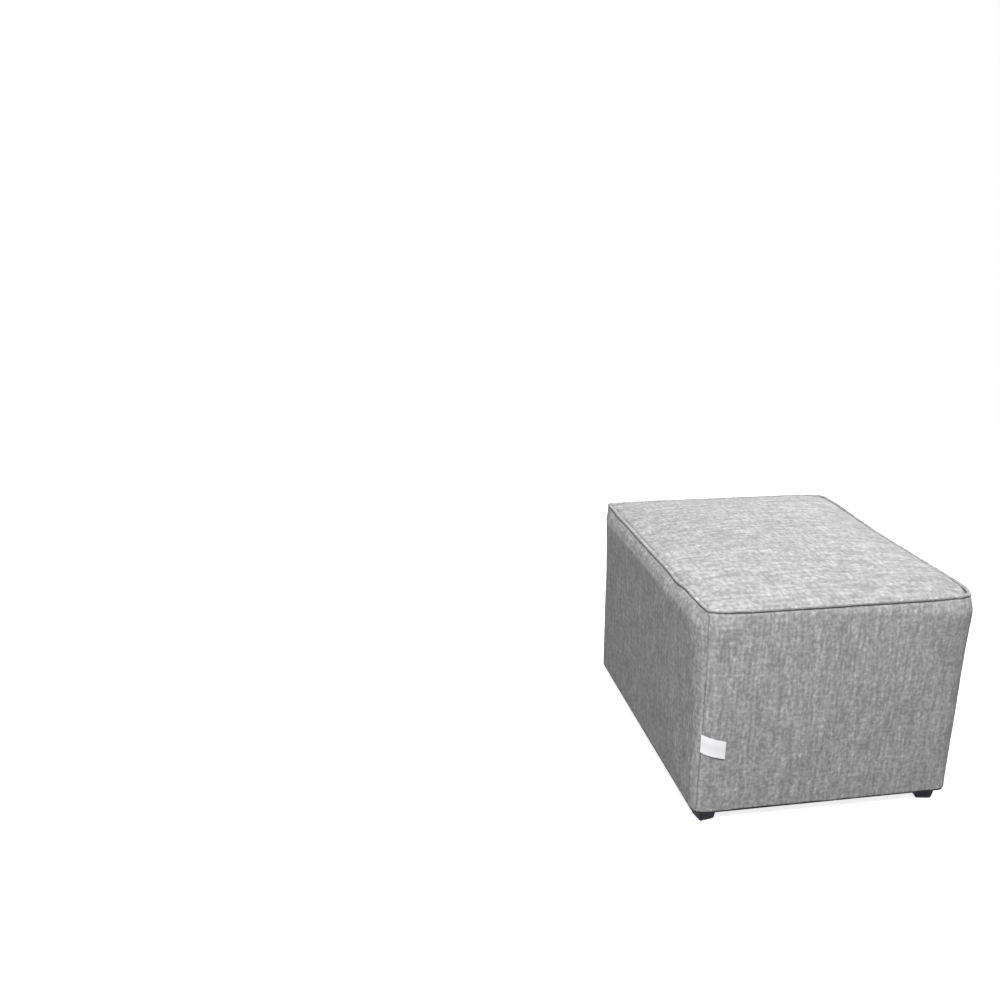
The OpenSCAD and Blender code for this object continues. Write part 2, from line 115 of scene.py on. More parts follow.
def open_finish(name, **constants):
    """A material with one shader, whose constant inputs are set on its own sockets."""
    finish = bpy.data.materials.new(name)
    finish.use_nodes = True
    shader = finish.node_tree.nodes["Principled BSDF"]
    for label, value in constants.items():
        shader.inputs[label.replace("_", " ")].default_value = value
    return finish, finish.node_tree


def close_finish(finish, colour, rough, height, depth, strength=1.0):
    """Feeds a material's shader its colour, its roughness and the relief of a height."""
    tree = finish.node_tree
    shader = tree.nodes["Principled BSDF"]
    bump = put(tree, "ShaderNodeBump", {"Height": height, "Distance": depth, "Strength": strength})
    for label, value in (("Base Color", colour), ("Roughness", rough), ("Normal", bump.outputs["Normal"])):
        tree.links.new(value, shader.inputs[label])
    return finish


def group_finish(finish, group, place, values, depth, strength=1.0):
    """Feeds a material's shader from a shader group with the given values."""
    look = put(finish.node_tree, "ShaderNodeGroup", {"Place": place, **values}, node_tree=group).outputs
    return close_finish(finish, look["Color"], look["Roughness"], look["Height"], depth, strength)


def coat_node(node, finish):
    """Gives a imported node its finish."""
    node.data.materials.clear()
    node.data.materials.append(finish)


pith_beside, ring_wander = 0.045, 0.012


def wood_grain_group():
    """Growth rings round a line that lies beside the piece, crossed by fibres along X."""
    tree, given = open_group("wood_grain", Pale_wood="Color", Dark_wood="Color", Ring_width="Float")
    wander = stretched_noise(tree, given["Place"], (0.3, 0.02, 0.02))
    parts = put(tree, "ShaderNodeSeparateXYZ", {0: given["Place"]}).outputs
    across = maths(tree, "ADD", parts["Y"], pith_beside)
    squares = maths(tree, "ADD", maths(tree, "POWER", across, 2.0), maths(tree, "POWER", parts["Z"], 2.0))
    bent = maths(tree, "ADD", maths(tree, "SQRT", squares), maths(tree, "MULTIPLY", wander, ring_wander))
    ring = maths(tree, "FRACT", maths(tree, "DIVIDE", bent, given["Ring width"]))
    late = maths(tree, "POWER", ring, 3.0)
    fibre = stretched_noise(tree, given["Place"], (0.02, 0.0005, 0.0005), 3.0)
    tone = maths(tree, "ADD", maths(tree, "MULTIPLY", late, 0.6), maths(tree, "MULTIPLY", fibre, 0.5))
    height = maths(tree, "SUBTRACT", fibre, maths(tree, "MULTIPLY", late, 0.3))
    return close_group(tree, mixed(tree, tone, given["Pale wood"], given["Dark wood"]),
                       spread(tree, tone, 0.82, 0.6), height)


wood_grain = wood_grain_group()


def wood_finish(name, pale, dark, ring_width, turn):
    """Wood whose grain runs along local X after the turn."""
    finish, tree = open_finish(name, IOR=1.45)
    turned_place = put(tree, "ShaderNodeMapping", {"Vector": object_place(tree), "Rotation": turn}).outputs[0]
    return group_finish(finish, wood_grain, turned_place,
                        {"Pale wood": pale, "Dark wood": dark, "Ring width": ring_width}, 0.0003)


pine_pale, pine_dark = (0.62, 0.44, 0.24, 1), (0.42, 0.23, 0.09, 1)
pine_x, pine_y, pine_z = [
    wood_finish(name, pine_pale, pine_dark, 0.0045, turn)
    for name, turn in (("pine_along_x", (0, 0, 0)), ("pine_along_y", (0, 0, math.radians(-90))),
                       ("pine_upright", (0, math.radians(90), 0)))]
for corner in CORNERS:
    coat_node(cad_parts["corner_post_" + corner], pine_z)
for number, side in enumerate(SIDES):
    for rail in ("top_rail_", "bottom_rail_"):
        coat_node(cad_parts[rail + side], pine_y if number % 2 else pine_x)
coat_node(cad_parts["bottom_stretcher"], pine_x)

# Dowels, stretcher screws and threaded inserts
# Beech dowels are glued across the joints of the frame, and two zinc plated screws hold each stretcher end.
# A brass insert is driven up into each post and takes the stud of a foot.
beech = wood_finish("beech_dowel", (0.62, 0.42, 0.26, 1), (0.48, 0.29, 0.16, 1), 0.0016, (0, 0, 0))
coat_node(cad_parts["frame_dowels"], beech)


def plated_metal_group():
    """Bright plating with duller patches and fine scratches."""
    tree, given = open_group("plated_metal", Bright="Color", Dull="Color", Smooth="Float")
    patch = stretched_noise(tree, given["Place"], (0.004, 0.004, 0.004), 3.0)
    scratch = stretched_noise(tree, given["Place"], (0.0006, 0.0006, 0.006), 2.0, 3.0)
    rough = maths(tree, "ADD", given["Smooth"], maths(tree, "MULTIPLY", patch, 0.2))
    return close_group(tree, mixed(tree, patch, given["Bright"], given["Dull"]), rough, scratch)


plated_metal = plated_metal_group()


def metal_finish(name, bright, dull, smooth):
    finish, tree = open_finish(name, Metallic=1.0)
    return group_finish(finish, plated_metal, object_place(tree),
                        {"Bright": bright, "Dull": dull, "Smooth": smooth}, 0.00004, 0.6)


zinc = metal_finish("zinc_plating", (0.66, 0.67, 0.7, 1), (0.5, 0.51, 0.54, 1), 0.22)
brass = metal_finish("turned_brass", (0.78, 0.58, 0.27, 1), (0.6, 0.42, 0.17, 1), 0.2)
coat_node(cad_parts["stretcher_screws"], zinc)
coat_node(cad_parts["threaded_inserts"], brass)

# Side boards and their staples
# Thin brown hardboard closes the four sides of the frame and gives the side foam its flat back.
# Wire staples, 12 mm wide, hold it to the rails in two rows.
half_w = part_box("side_panel_right")[1].x
half_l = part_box("side_panel_back")[1].y
frame_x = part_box("corner_post_front_right")[1].x
frame_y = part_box("corner_post_back_right")[1].y
frame_z, frame_top_z = (corner.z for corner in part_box("corner_post_front_right"))
post_width = frame_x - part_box("corner_post_front_right")[0].x
board_thickness = -frame_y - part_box("side_board_front")[0].y
staple_width, staple_leg, staple_wire = 0.012, 0.010, 0.0009
staple_bend = staple_wire * 0.7
staple_row_in = 0.031
board_staple_pitch, board_staple_up, board_staple_down = 0.09, 0.030, 0.025


def hardboard_finish():
    finish, tree = open_finish("hardboard", IOR=1.45)
    fibre = stretched_noise(tree, object_place(tree), (0.0012, 0.0012, 0.0012), 4.0)
    cloud = stretched_noise(tree, object_place(tree), (0.03, 0.03, 0.03), 2.0)
    tone = maths(tree, "ADD", maths(tree, "MULTIPLY", fibre, 0.7), maths(tree, "MULTIPLY", cloud, 0.3))
    brown = mixed(tree, tone, (0.16, 0.085, 0.045, 1), (0.32, 0.18, 0.1, 1))
    return close_finish(finish, brown, spread(tree, cloud, 0.35, 0.6), fibre, 0.0001)


hardboard = hardboard_finish()
for side in SIDES:
    coat_node(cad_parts["side_board_" + side], hardboard)


def open_tree(name, **inputs):
    """A geometry tree for a modifier with its named inputs, and its input sockets."""
    tree = bpy.data.node_groups.new(name, "GeometryNodeTree")
    tree.is_modifier = True
    add_sockets(tree, "INPUT", inputs)
    add_sockets(tree, "OUTPUT", {"Result": "Geometry"})
    return tree, tree.nodes.new("NodeGroupInput").outputs


def close_tree(tree, geometry, finish):
    """Ends a geometry tree in plain faces of one material."""
    real = put(tree, "GeometryNodeRealizeInstances", {"Geometry": geometry}).outputs[0]
    coated = put(tree, "GeometryNodeSetMaterial", {"Geometry": real, "Material": finish}).outputs[0]
    tree.links.new(coated, tree.nodes.new("NodeGroupOutput").inputs[0])
    return tree


def attribute(tree, name, kind="FLOAT"):
    return put(tree, "GeometryNodeInputNamedAttribute", {"Name": name}, data_type=kind).outputs[0]


def staple_tree():
    """Bends one wire into a staple and sets a copy of it at every point, turned by the point's own angles."""
    tree, given = open_tree("wire_staples", Places="Geometry", Crown_width="Float", Leg_length="Float",
                            Wire="Float", Bend_radius="Float", Finish="Material")
    number = put(tree, "GeometryNodeInputIndex").outputs[0]
    right = maths(tree, "GREATER_THAN", number, 1.5)
    inner = maths(tree, "LESS_THAN", maths(tree, "ABSOLUTE", maths(tree, "SUBTRACT", number, 1.5)), 1.0)
    span = maths(tree, "SUBTRACT", given["Crown width"], given["Wire"])
    x = maths(tree, "MULTIPLY", span, maths(tree, "SUBTRACT", right, 0.5))
    drop = maths(tree, "MULTIPLY", maths(tree, "SUBTRACT", inner, 1.0), given["Leg length"])
    crown = maths(tree, "MULTIPLY", maths(tree, "MULTIPLY", given["Wire"], -0.5), inner)
    corner = put(tree, "ShaderNodeCombineXYZ", {"X": x, "Z": maths(tree, "ADD", drop, crown)})
    line = put(tree, "GeometryNodeMeshLine", {"Count": 4}).outputs[0]
    bent = put(tree, "GeometryNodeSetPosition", {"Geometry": line, "Position": corner.outputs[0]}).outputs[0]
    wire = put(tree, "GeometryNodeMeshToCurve", {"Mesh": bent}).outputs[0]
    fillet = put(tree, "GeometryNodeFilletCurve",
                 {"Curve": wire, "Radius": given["Bend radius"], "Count": 4}, mode="POLY")
    section = put(tree, "GeometryNodeCurvePrimitiveCircle",
                  {"Resolution": 6, "Radius": maths(tree, "MULTIPLY", given["Wire"], 0.5)}).outputs[0]
    solid = put(tree, "GeometryNodeCurveToMesh",
                {"Curve": fillet.outputs[0], "Profile Curve": section, "Fill Caps": True}).outputs[0]
    angles = attribute(tree, "turn", "FLOAT_VECTOR")
    turn = put(tree, "FunctionNodeEulerToRotation", {"Euler": angles}).outputs[0]
    copies = put(tree, "GeometryNodeInstanceOnPoints",
                 {"Points": given["Places"], "Instance": solid, "Rotation": turn}).outputs[0]
    return close_tree(tree, copies, given["Finish"])


staples_from_wire = staple_tree()


def place_object(name, mesh):
    piece = bpy.data.objects.new(name, mesh)
    bpy.context.scene.collection.objects.link(piece)
    return piece


def keep_result(piece):
    """Makes the result of the piece's modifiers its plain mesh, and drops them."""
    mesh = bpy.data.meshes.new_from_object(piece.evaluated_get(bpy.context.evaluated_depsgraph_get()))
    piece.modifiers.clear()
    piece.data = mesh


def bake_nodes(piece, tree, values):
    """Runs a geometry tree on the piece with the named values, and keeps the result as its plain mesh."""
    modifier = piece.modifiers.new(tree.name, "NODES")
    modifier.node_group = tree
    sockets = {item.name: item.identifier for item in tree.interface.items_tree if item.in_out == "INPUT"}
    for label, value in values.items():
        modifier[sockets[label]] = value
    keep_result(piece)


def dress(piece, finish, node, body="ottoman"):
    """Coats a finished piece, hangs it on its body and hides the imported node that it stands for."""
    piece.data.materials.clear()
    piece.data.materials.append(finish)
    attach(piece, body)
    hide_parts(node)
    return piece


def staple_piece(name, node, places):
    """Staples at places, each a point and its turn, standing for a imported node."""
    mesh = bpy.data.meshes.new(name)
    mesh.from_pydata([point for point, turn in places], [], [])
    turns = mesh.attributes.new("turn", "FLOAT_VECTOR", "POINT")
    turns.data.foreach_set("vector", [angle for point, turn in places for angle in turn])
    piece = place_object(name, mesh)
    bake_nodes(piece, staples_from_wire, {
        "Crown width": staple_width, "Leg length": staple_leg, "Wire": staple_wire,
        "Bend radius": staple_bend, "Finish": zinc})
    piece.data.shade_smooth()
    piece.data.set_sharp_from_angle(angle=math.radians(50))
    dress(piece, zinc, node)


def row_places(side, pitch):
    """Places of a row of staples along a side, between the dowels of its posts."""
    half = (frame_x if side % 2 == 0 else frame_y) - post_width - staple_row_in
    gaps = max(1, math.floor(2 * half / pitch + 1e-6))
    return [half * (2 * i / gaps - 1) for i in range(gaps + 1)]


def on_side(side, x, inward, z, tip):
    """Place and turn of a staple on a side, at a distance inward from the frame's face."""
    y = inward - (frame_x if side % 2 else frame_y)
    quarter = math.pi / 2 * side
    return tuple(Matrix.Rotation(quarter, 3, "Z") @ Vector((x, y, z))), (tip, 0, quarter)


staple_piece("board_staples_wire", "board_staples", [
    on_side(side, x, -board_thickness, z, math.pi / 2)
    for side in range(4) for x in row_places(side, board_staple_pitch)
    for z in (frame_z + board_staple_up, frame_top_z - board_staple_down)])

# Webbing and its staples
# Black elastic webbing, 50 mm wide, is stretched over the top rails: three straps lengthwise and four across.
# Each strap's end is held by two staples. The straps across pass over the others and step down to the rails.
strap_width, strap_thickness, strap_step = 0.05, 0.0012, 0.008
strap_back, strap_staple_in, strap_staple_pitch = 0.004, 0.005, 0.024
strap_pitches, strap_counts = (0.118, 0.108), (3, 4)
rib_pitch, rubber_pitch = 0.0014, 0.0021


def strap_places(side):
    count, pitch = strap_counts[side % 2], strap_pitches[side % 2]
    return [pitch * (i - (count - 1) / 2) for i in range(count)]


def grid_corners(rows, columns):
    """Corners of the faces of a grid, turned so that a grid read down and to the right faces its viewer."""
    i, j = np.meshgrid(np.arange(rows - 1), np.arange(columns - 1), indexing="ij")
    return np.stack([i * columns + j, (i + 1) * columns + j, (i + 1) * columns + j + 1, i * columns + j + 1],
                    -1).reshape(-1, 4)


def shell_mesh(name, outer, inner, cloth_uv=None):
    """Closed mesh between two grids of points, the outer one facing its viewer, joined round their rims."""
    rows, columns = outer.shape[:2]
    count = rows * columns
    faces = grid_corners(rows, columns)
    left = np.arange(rows) * columns
    bottom = (rows - 1) * columns + np.arange(columns)
    rim = np.concatenate([left, bottom[1:], left[::-1][1:] + columns - 1, np.arange(columns)[::-1][1:]])
    edge = np.stack([rim[1:], rim[:-1], rim[:-1] + count, rim[1:] + count], -1)
    every = np.concatenate([faces, faces[:, ::-1] + count, edge])
    mesh = bpy.data.meshes.new(name)
    points = np.concatenate([outer.reshape(-1, 3), inner.reshape(-1, 3)])
    mesh.from_pydata(points.tolist(), [], every.tolist())
    if cloth_uv is not None:
        flat = np.concatenate([cloth_uv.reshape(-1, 2)] * 2)
        corners = np.empty(len(mesh.loops), np.int32)
        mesh.loops.foreach_get("vertex_index", corners)
        mesh.uv_layers.new(name="cloth").data.foreach_set("uv", flat[corners].ravel())
    mesh.shade_smooth()
    mesh.set_sharp_from_angle(angle=math.radians(55))
    return mesh


def cloth_place(tree):
    return put(tree, "ShaderNodeUVMap", uv_map="cloth").outputs[0]


def webbing_finish():
    """Ribbed elastic webbing in black yarn, with rubber threads along it."""
    finish, tree = open_finish("elastic_webbing", Sheen_Weight=0.2)
    parts = put(tree, "ShaderNodeSeparateXYZ", {0: cloth_place(tree)}).outputs
    ribs = maths(tree, "SINE", maths(tree, "MULTIPLY", parts["Y"], 2 * math.pi / rib_pitch))
    threads = maths(tree, "SINE", maths(tree, "MULTIPLY", parts["X"], 2 * math.pi / rubber_pitch))
    woven = maths(tree, "MULTIPLY", ribs, threads)
    fuzz = stretched_noise(tree, cloth_place(tree), (0.0008, 0.003, 1.0))
    tone = maths(tree, "ADD", maths(tree, "MULTIPLY", woven, 0.25), fuzz)
    black = mixed(tree, tone, (0.012, 0.012, 0.014, 1), (0.07, 0.07, 0.075, 1))
    return close_finish(finish, black, spread(tree, fuzz, 0.7, 0.95), woven, 0.0002)


webbing = webbing_finish()


def strap_meshes(middles, half, crossing, lift):
    """Straps side by side: each runs from -half to half, and lies higher by the lift over what it crosses."""
    run = np.concatenate([np.linspace(-half, -crossing - strap_step, 4), np.linspace(-crossing, crossing, 60),
                          np.linspace(crossing + strap_step, half, 4)])
    raised = np.where(abs(run) <= crossing + strap_step / 10, lift, 0)
    across = np.linspace(-1, 1, 13) * strap_width / 2
    meshes = []
    for number, middle in enumerate(middles):
        round_edge = strap_thickness / 2 * np.sqrt(1 - (abs(across) / (strap_width / 2)) ** 16)
        middle_z = frame_top_z + strap_thickness / 2 + raised[None, :]
        grid = np.empty((len(across), len(run), 3))
        grid[..., 0], grid[..., 1] = run[None, :], (middle - across)[:, None]
        top, low = grid.copy(), grid.copy()
        top[..., 2] = middle_z + round_edge[:, None]
        low[..., 2] = middle_z - round_edge[:, None]
        uv = np.stack([np.broadcast_to(across[:, None] + number, top.shape[:2]),
                       np.broadcast_to(run[None, :], top.shape[:2])], -1)
        meshes.append(shell_mesh("strap", top, low, uv))
    return meshes


def joined_piece(name, meshes, turn=0.0):
    """One object of several meshes, turned about Z in its mesh."""
    parts = [place_object(name, mesh) for mesh in meshes]
    chosen = {"active_object": parts[0], "selected_editable_objects": parts, "selected_objects": parts}
    with bpy.context.temp_override(**chosen):
        bpy.ops.object.join()
    parts[0].data.transform(Matrix.Rotation(turn, 4, "Z"))
    return parts[0]


def dress_shell(name, outer, inner, finish, node, slot, cloth_uv=None):
    """A closed shell as a finished piece of the ottoman's own body."""
    return dress(place_object(name, shell_mesh(name, outer, inner, cloth_uv)), finish, node)


crossing = strap_places(0)[-1] + strap_width / 2 + strap_thickness
long_half, cross_half = frame_y - strap_back, frame_x - strap_back
straps_long = strap_meshes(strap_places(0), long_half, long_half - 3 * strap_step, 0)
dress(joined_piece("straps_lengthwise", straps_long, math.pi / 2), webbing, "webbing_lengthwise")
straps_cross = strap_meshes(strap_places(1), cross_half, crossing, strap_thickness)
dress(joined_piece("straps_crosswise", straps_cross), webbing, "webbing_crosswise")
staple_piece("webbing_staples_wire", "webbing_staples", [
    on_side(side, x + end * strap_staple_pitch / 2, strap_back + strap_staple_in,
            frame_top_z + strap_thickness, 0)
    for side in range(4) for x in strap_places(side) for end in (-1, 1)])

# Barrier cloth
# A thin white spun cloth lies on the webbing, so that the straps don't cut into the foam.
# Its fibres are pressed together in small points, and it stays loose enough to ripple a little.
barrier_low, barrier_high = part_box("barrier_cloth")
barrier_thickness, barrier_ripple, ripple_cell, barrier_spacing = 0.0003, 0.0001, 0.05, 0.006


def spun_cloth_group():
    """Fibres that cross in a thin web, pressed together in rows of points."""
    tree, given = open_group("spun_cloth", Thin="Color", Thick="Color")
    cloud = stretched_noise(tree, given["Place"], (0.012, 0.012, 0.012), 3.0)
    fibre = stretched_noise(tree, given["Place"], (0.0005, 0.003, 0.003), 3.0, 5.0)
    crossed = stretched_noise(tree, given["Place"], (0.003, 0.0005, 0.003), 3.0, 9.0)
    points = put(tree, "ShaderNodeTexVoronoi", {"Vector": given["Place"], "Scale": 900.0, "Randomness": 0.15})
    pressed = put(tree, "ShaderNodeMapRange", {0: points.outputs["Distance"], 1: 0.1, 2: 0.35}).outputs[0]
    web = maths(tree, "MULTIPLY", maths(tree, "ADD", fibre, crossed), 0.5)
    tone = maths(tree, "ADD", maths(tree, "MULTIPLY", web, 0.6), maths(tree, "MULTIPLY", cloud, 0.4))
    return close_group(tree, mixed(tree, tone, given["Thin"], given["Thick"]),
                       spread(tree, pressed, 0.6, 0.95), maths(tree, "ADD", pressed, web))


spun_cloth = spun_cloth_group()


def spun_finish(name, thin, thick):
    finish, tree = open_finish(name, Sheen_Weight=0.15)
    return group_finish(finish, spun_cloth, object_place(tree), {"Thin": thin, "Thick": thick}, 0.0002)


def uneven(points, cell):
    """Smooth unevenness from -1 to 1 at points, with bumps of about the cell's size."""
    flat = np.asarray(points, float).reshape(-1, 3) / cell
    values = [noise.noise(point) for point in flat.tolist()]
    return np.array(values).reshape(np.shape(points)[:-1])


def flat_grid(low, high, spacing):
    """Level grid between two corners, read down and to the right as seen from above."""
    x = np.linspace(low[0], high[0], int((high[0] - low[0]) / spacing) + 1)
    y = np.linspace(high[1], low[1], int((high[1] - low[1]) / spacing) + 1)
    grid = np.zeros((len(y), len(x), 3))
    grid[..., 0], grid[..., 1] = x[None, :], y[:, None]
    return grid


barrier = flat_grid(barrier_low, barrier_high, barrier_spacing)
barrier_middle = (barrier_low.z + barrier_high.z + barrier_thickness) / 2
barrier[..., 2] = barrier_middle + barrier_ripple * uneven(barrier, ripple_cell)
barrier_piece = dress_shell("barrier_sheet", barrier, barrier - (0, 0, barrier_thickness),
                            spun_finish("white_spun_cloth", (0.62, 0.62, 0.6, 1), (0.85, 0.85, 0.83, 1)),
                            "barrier_cloth", "spunbond")

# Foam and wadding
# A crowned block of polyether foam makes the seat, under a loose layer of polyester wadding that softens it.
# Thinner foam is glued over the boards and round the posts, and tapers down to the bottom edge.
corner_radius, hem_corner_radius, side_draw = 0.048, 0.020, 0.008
shoulder_height, shoulder_in, fold_radius = 0.020, 0.011, 0.0045
cloth_thickness = 0.0015
hem_z, seam_z = (corner.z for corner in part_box("side_panel_front"))
wide_z, fold_z = seam_z - shoulder_height, hem_z + fold_radius
top_edge_z, crown_z = (corner.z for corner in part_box("top_cover_panel"))
top_edge_in = half_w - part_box("top_cover_panel")[1].x
seat_z, foam_crown_z = (corner.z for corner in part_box("top_foam"))
crown_power, crown_easing = 4, 60
foam_gap, foam_bump, foam_bump_cell, foam_edge_share = 0.0022, 0.0004, 0.03, 0.97
foam_under_in, foam_under_radius, foam_under_share = 0.002, 0.042, 0.995
slab_bump, slab_bump_cell, slab_end_in, slab_bend = 0.0003, 0.025, 0.0006, 0.03
corner_pulls = {(1, -1): (-0.0015, 0.0030), (1, 1): (0.0040, 0.0010),
                (-1, 1): (0.0085, 0.0055), (-1, -1): (0.0055, 0.0010)}
full_corner, full_x, full_y, full_width = (1, 1), 0.0160, -0.0015, 0.150
pull_width, pull_fade, tip_out, tip_width = 0.0135, 0.045, 0.0012, 0.004
flank_in, flank_place, flank_width = 0.0018, 0.032, 0.018
wadding_in, wadding_thickness, fluff_height, fluff_cell = 0.007, 0.0024, 0.0002, 0.012
side_foam_back = side_draw + cloth_thickness + 0.0065


def turned(side, x, y):
    """Coordinates along and across side 0, turned to the given side."""
    return [(x, y), (-y, x), (-x, -y), (y, -x)][side]


def corner_pull(x, y, inset, radius):
    """How far the piping pulls the sewn cover out to a point at each corner, and draws it in beside it."""
    middle = inset + radius * (1 - math.sqrt(0.5))
    move_x, move_y = 0 * x, 0 * y
    for (side_x, side_y), (out_x, out_y) in corner_pulls.items():
        distance = np.hypot(x - side_x * (half_w - middle), y - side_y * (half_l - middle))
        near = np.exp(-(distance / pull_width) ** 2)
        tip = tip_out * np.exp(-(distance / tip_width) ** 2)
        flank = flank_in * np.exp(-((distance - flank_place) / flank_width) ** 2)
        move_x = move_x + side_x * (out_x * near + tip - flank)
        move_y = move_y + side_y * (out_y * near + tip - flank)
        if (side_x, side_y) == full_corner:
            full = np.exp(-(distance / full_width) ** 2)
            move_x, move_y = move_x + side_x * full_x * full, move_y + side_y * full_y * full
    return move_x, move_y


def outline(side, inset, radius, station):
    """Outline of the cover from one mid corner, station 0, over the run from 1 to 2, to the next one at 3.
    Gives the place, the direction out of the cover, and the distance along it from the side's middle."""
    along, across = (half_w, half_l) if side % 2 == 0 else (half_l, half_w)
    angle = np.radians(225 + 45 * (np.clip(station, 0, 1) + np.clip(station - 2, 0, 1)))
    run = (2 * np.clip(station - 1, 0, 1) - 1) * (along - inset - radius)
    x = radius * np.cos(angle) + run
    y = radius * np.sin(angle) - (across - inset - radius)
    distance = run + radius * (angle - math.radians(270))
    return turned(side, x, y), turned(side, np.cos(angle), np.sin(angle)), distance


def side_length(side, inset=0.0, radius=corner_radius):
    along = half_w if side % 2 == 0 else half_l
    return 2 * (along - inset - radius) + radius * math.pi / 2


def station_at(side, length, inset=0.0, radius=corner_radius):
    """Station of a distance along the outline from its first mid corner."""
    arc = radius * math.pi / 4
    run = side_length(side, inset, radius) - 2 * arc
    parts = ((0, arc), (arc, run), (arc + run, arc))
    return sum(np.clip((length - start) / reach, 0, 1) for start, reach in parts)


def square_rings(insets, radii, shares):
    """Square grid whose rings, from the middle out, follow the outline at each inset, radius and share."""
    last = len(shares) - 1
    u, v = np.meshgrid(np.arange(-last, last + 1), np.arange(last, -last - 1, -1))
    ring = np.maximum(abs(u), abs(v))
    whole = np.maximum(ring, 1)
    masks = [v == -ring, u == ring, v == ring, u == -ring]
    x, y = np.zeros(ring.shape), np.zeros(ring.shape)
    inset, radius, share = insets[ring], radii[ring], shares[ring]
    for side, fraction in reversed(list(enumerate((u / whole, v / whole, -u / whole, -v / whole)))):
        length = (fraction + 1) / 2 * side_length(side, top_edge_in, corner_radius - top_edge_in)
        station = station_at(side, length, top_edge_in, corner_radius - top_edge_in)
        (px, py), out, distance = outline(side, inset, radius, station)
        x = np.where(masks[side], px * share, x)
        y = np.where(masks[side], py * share, y)
    return x, y, ring


def spaced(length, fine, coarse, growth):
    """Distances from 0 to the length, close together at both ends."""
    steps, reach = [0.0], fine
    while steps[-1] < length / 2:
        steps.append(steps[-1] + reach)
        reach = min(reach * growth, coarse)
    half = np.array(steps) * (length / 2 / steps[-1])
    return np.concatenate([half, length - half[::-1][1:]])


def padded_top(edge_z, rise, inset, fine, coarse, wall=()):
    """Crowned top inside the inset, with further rings down a wall of [inset, height, radius] entries."""
    depths = spaced(2 * (half_w - inset), fine, coarse, 1.2)
    shares = 1 - depths[:len(depths) // 2 + 1][::-1] / (half_w - inset)
    wall = np.array(wall).reshape(-1, 3)
    insets = np.concatenate([np.full(len(shares), inset), wall[:, 0]])
    radii = np.concatenate([np.full(len(shares), corner_radius - inset), wall[:, 2]])
    every_share = np.concatenate([shares, np.ones(len(wall))])
    x, y, ring = square_rings(insets, radii, every_share)
    z = np.concatenate([edge_z + rise * (1 - shares ** crown_power), wall[:, 1]])[ring]
    crown = ring < len(shares) - 1
    for _ in range(crown_easing):
        eased = z.copy()
        eased[1:-1, 1:-1] = (z[:-2, 1:-1] + z[2:, 1:-1] + z[1:-1, :-2] + z[1:-1, 2:]) / 4
        z = np.where(crown, eased, z)
    return np.stack([x, y, z], -1), every_share[ring]


def shoulder_entry(angle, depth):
    """Inset, height and corner radius on the rounded shoulder, at an angle above the widest line.
    The depth is how far under the face of the cover it lies."""
    inset = shoulder_in - (shoulder_in - depth) * math.cos(angle)
    return [inset, wide_z + (shoulder_height - depth) * math.sin(angle), corner_radius - inset]


def taper_entry(z, depth):
    """The same on the straight part of a side, which draws in toward the bottom edge."""
    share = (z - fold_z) / (wide_z - fold_z)
    radius = hem_corner_radius + (corner_radius - hem_corner_radius) * share
    return [side_draw * (1 - share) + depth, z, radius - depth]


def fold_entry(angle, depth):
    """The same on the fold along the bottom edge."""
    inset = side_draw + fold_radius - (fold_radius - depth) * math.cos(angle)
    return [inset, fold_z - (fold_radius - depth) * math.sin(angle), hem_corner_radius + side_draw - inset]


def foam_finish(name, pale, deep, cell, depth):
    """Open cells of foam, or the loose fibres of wadding."""
    finish, tree = open_finish(name, Sheen_Weight=0.1)
    place = object_place(tree)
    cells = put(tree, "ShaderNodeTexVoronoi", {"Vector": place, "Scale": 1 / cell}).outputs["Distance"]
    soft = stretched_noise(tree, place, (cell * 3,) * 3, 4.0)
    tone = maths(tree, "ADD", maths(tree, "MULTIPLY", cells, 0.6), maths(tree, "MULTIPLY", soft, 0.6))
    return close_finish(finish, mixed(tree, tone, deep, pale), spread(tree, soft, 0.85, 1.0), tone, depth)


foam = foam_finish("cut_foam", (0.84, 0.76, 0.5, 1), (0.68, 0.58, 0.32, 1), 0.0011, 0.0004)
wadding = foam_finish("loose_wadding", (0.9, 0.9, 0.88, 1), (0.7, 0.7, 0.69, 1), 0.003, 0.0012)
foam_depth = cloth_thickness + foam_gap
foam_wall = ([shoulder_entry(angle, foam_depth) for angle in np.radians([70, 50, 30, 14, 0])]
             + [taper_entry(z, foam_depth) for z in np.linspace(wide_z - 0.006, seat_z + 0.004, 4)]
             + [[taper_entry(seat_z, foam_depth)[0] + foam_under_in, seat_z + foam_gap, foam_under_radius]])
foam_rise = foam_crown_z - top_edge_z + wadding_thickness
foam_top, foam_share = padded_top(top_edge_z - wadding_thickness - 2 * foam_gap, foam_rise - 2 * foam_gap,
                                  top_edge_in, 0.004, 0.009, foam_wall)
foam_top[..., 2] += np.where(foam_share < foam_edge_share, foam_bump * uneven(foam_top, foam_bump_cell), 0)
foam_moves = corner_pull(foam_top[..., 0], foam_top[..., 1], top_edge_in, corner_radius - top_edge_in)
foam_fade = np.exp(-np.maximum(seam_z - foam_top[..., 2], 0) / pull_fade) * np.where(foam_share < 1, 0, 1)
for axis in (0, 1):
    foam_top[..., axis] += foam_moves[axis] * foam_fade
foam_under = foam_top * (foam_under_share, foam_under_share, 0) + (0, 0, seat_z)
dress_shell("seat_foam_block", foam_top, foam_under, foam, "top_foam", "foam")

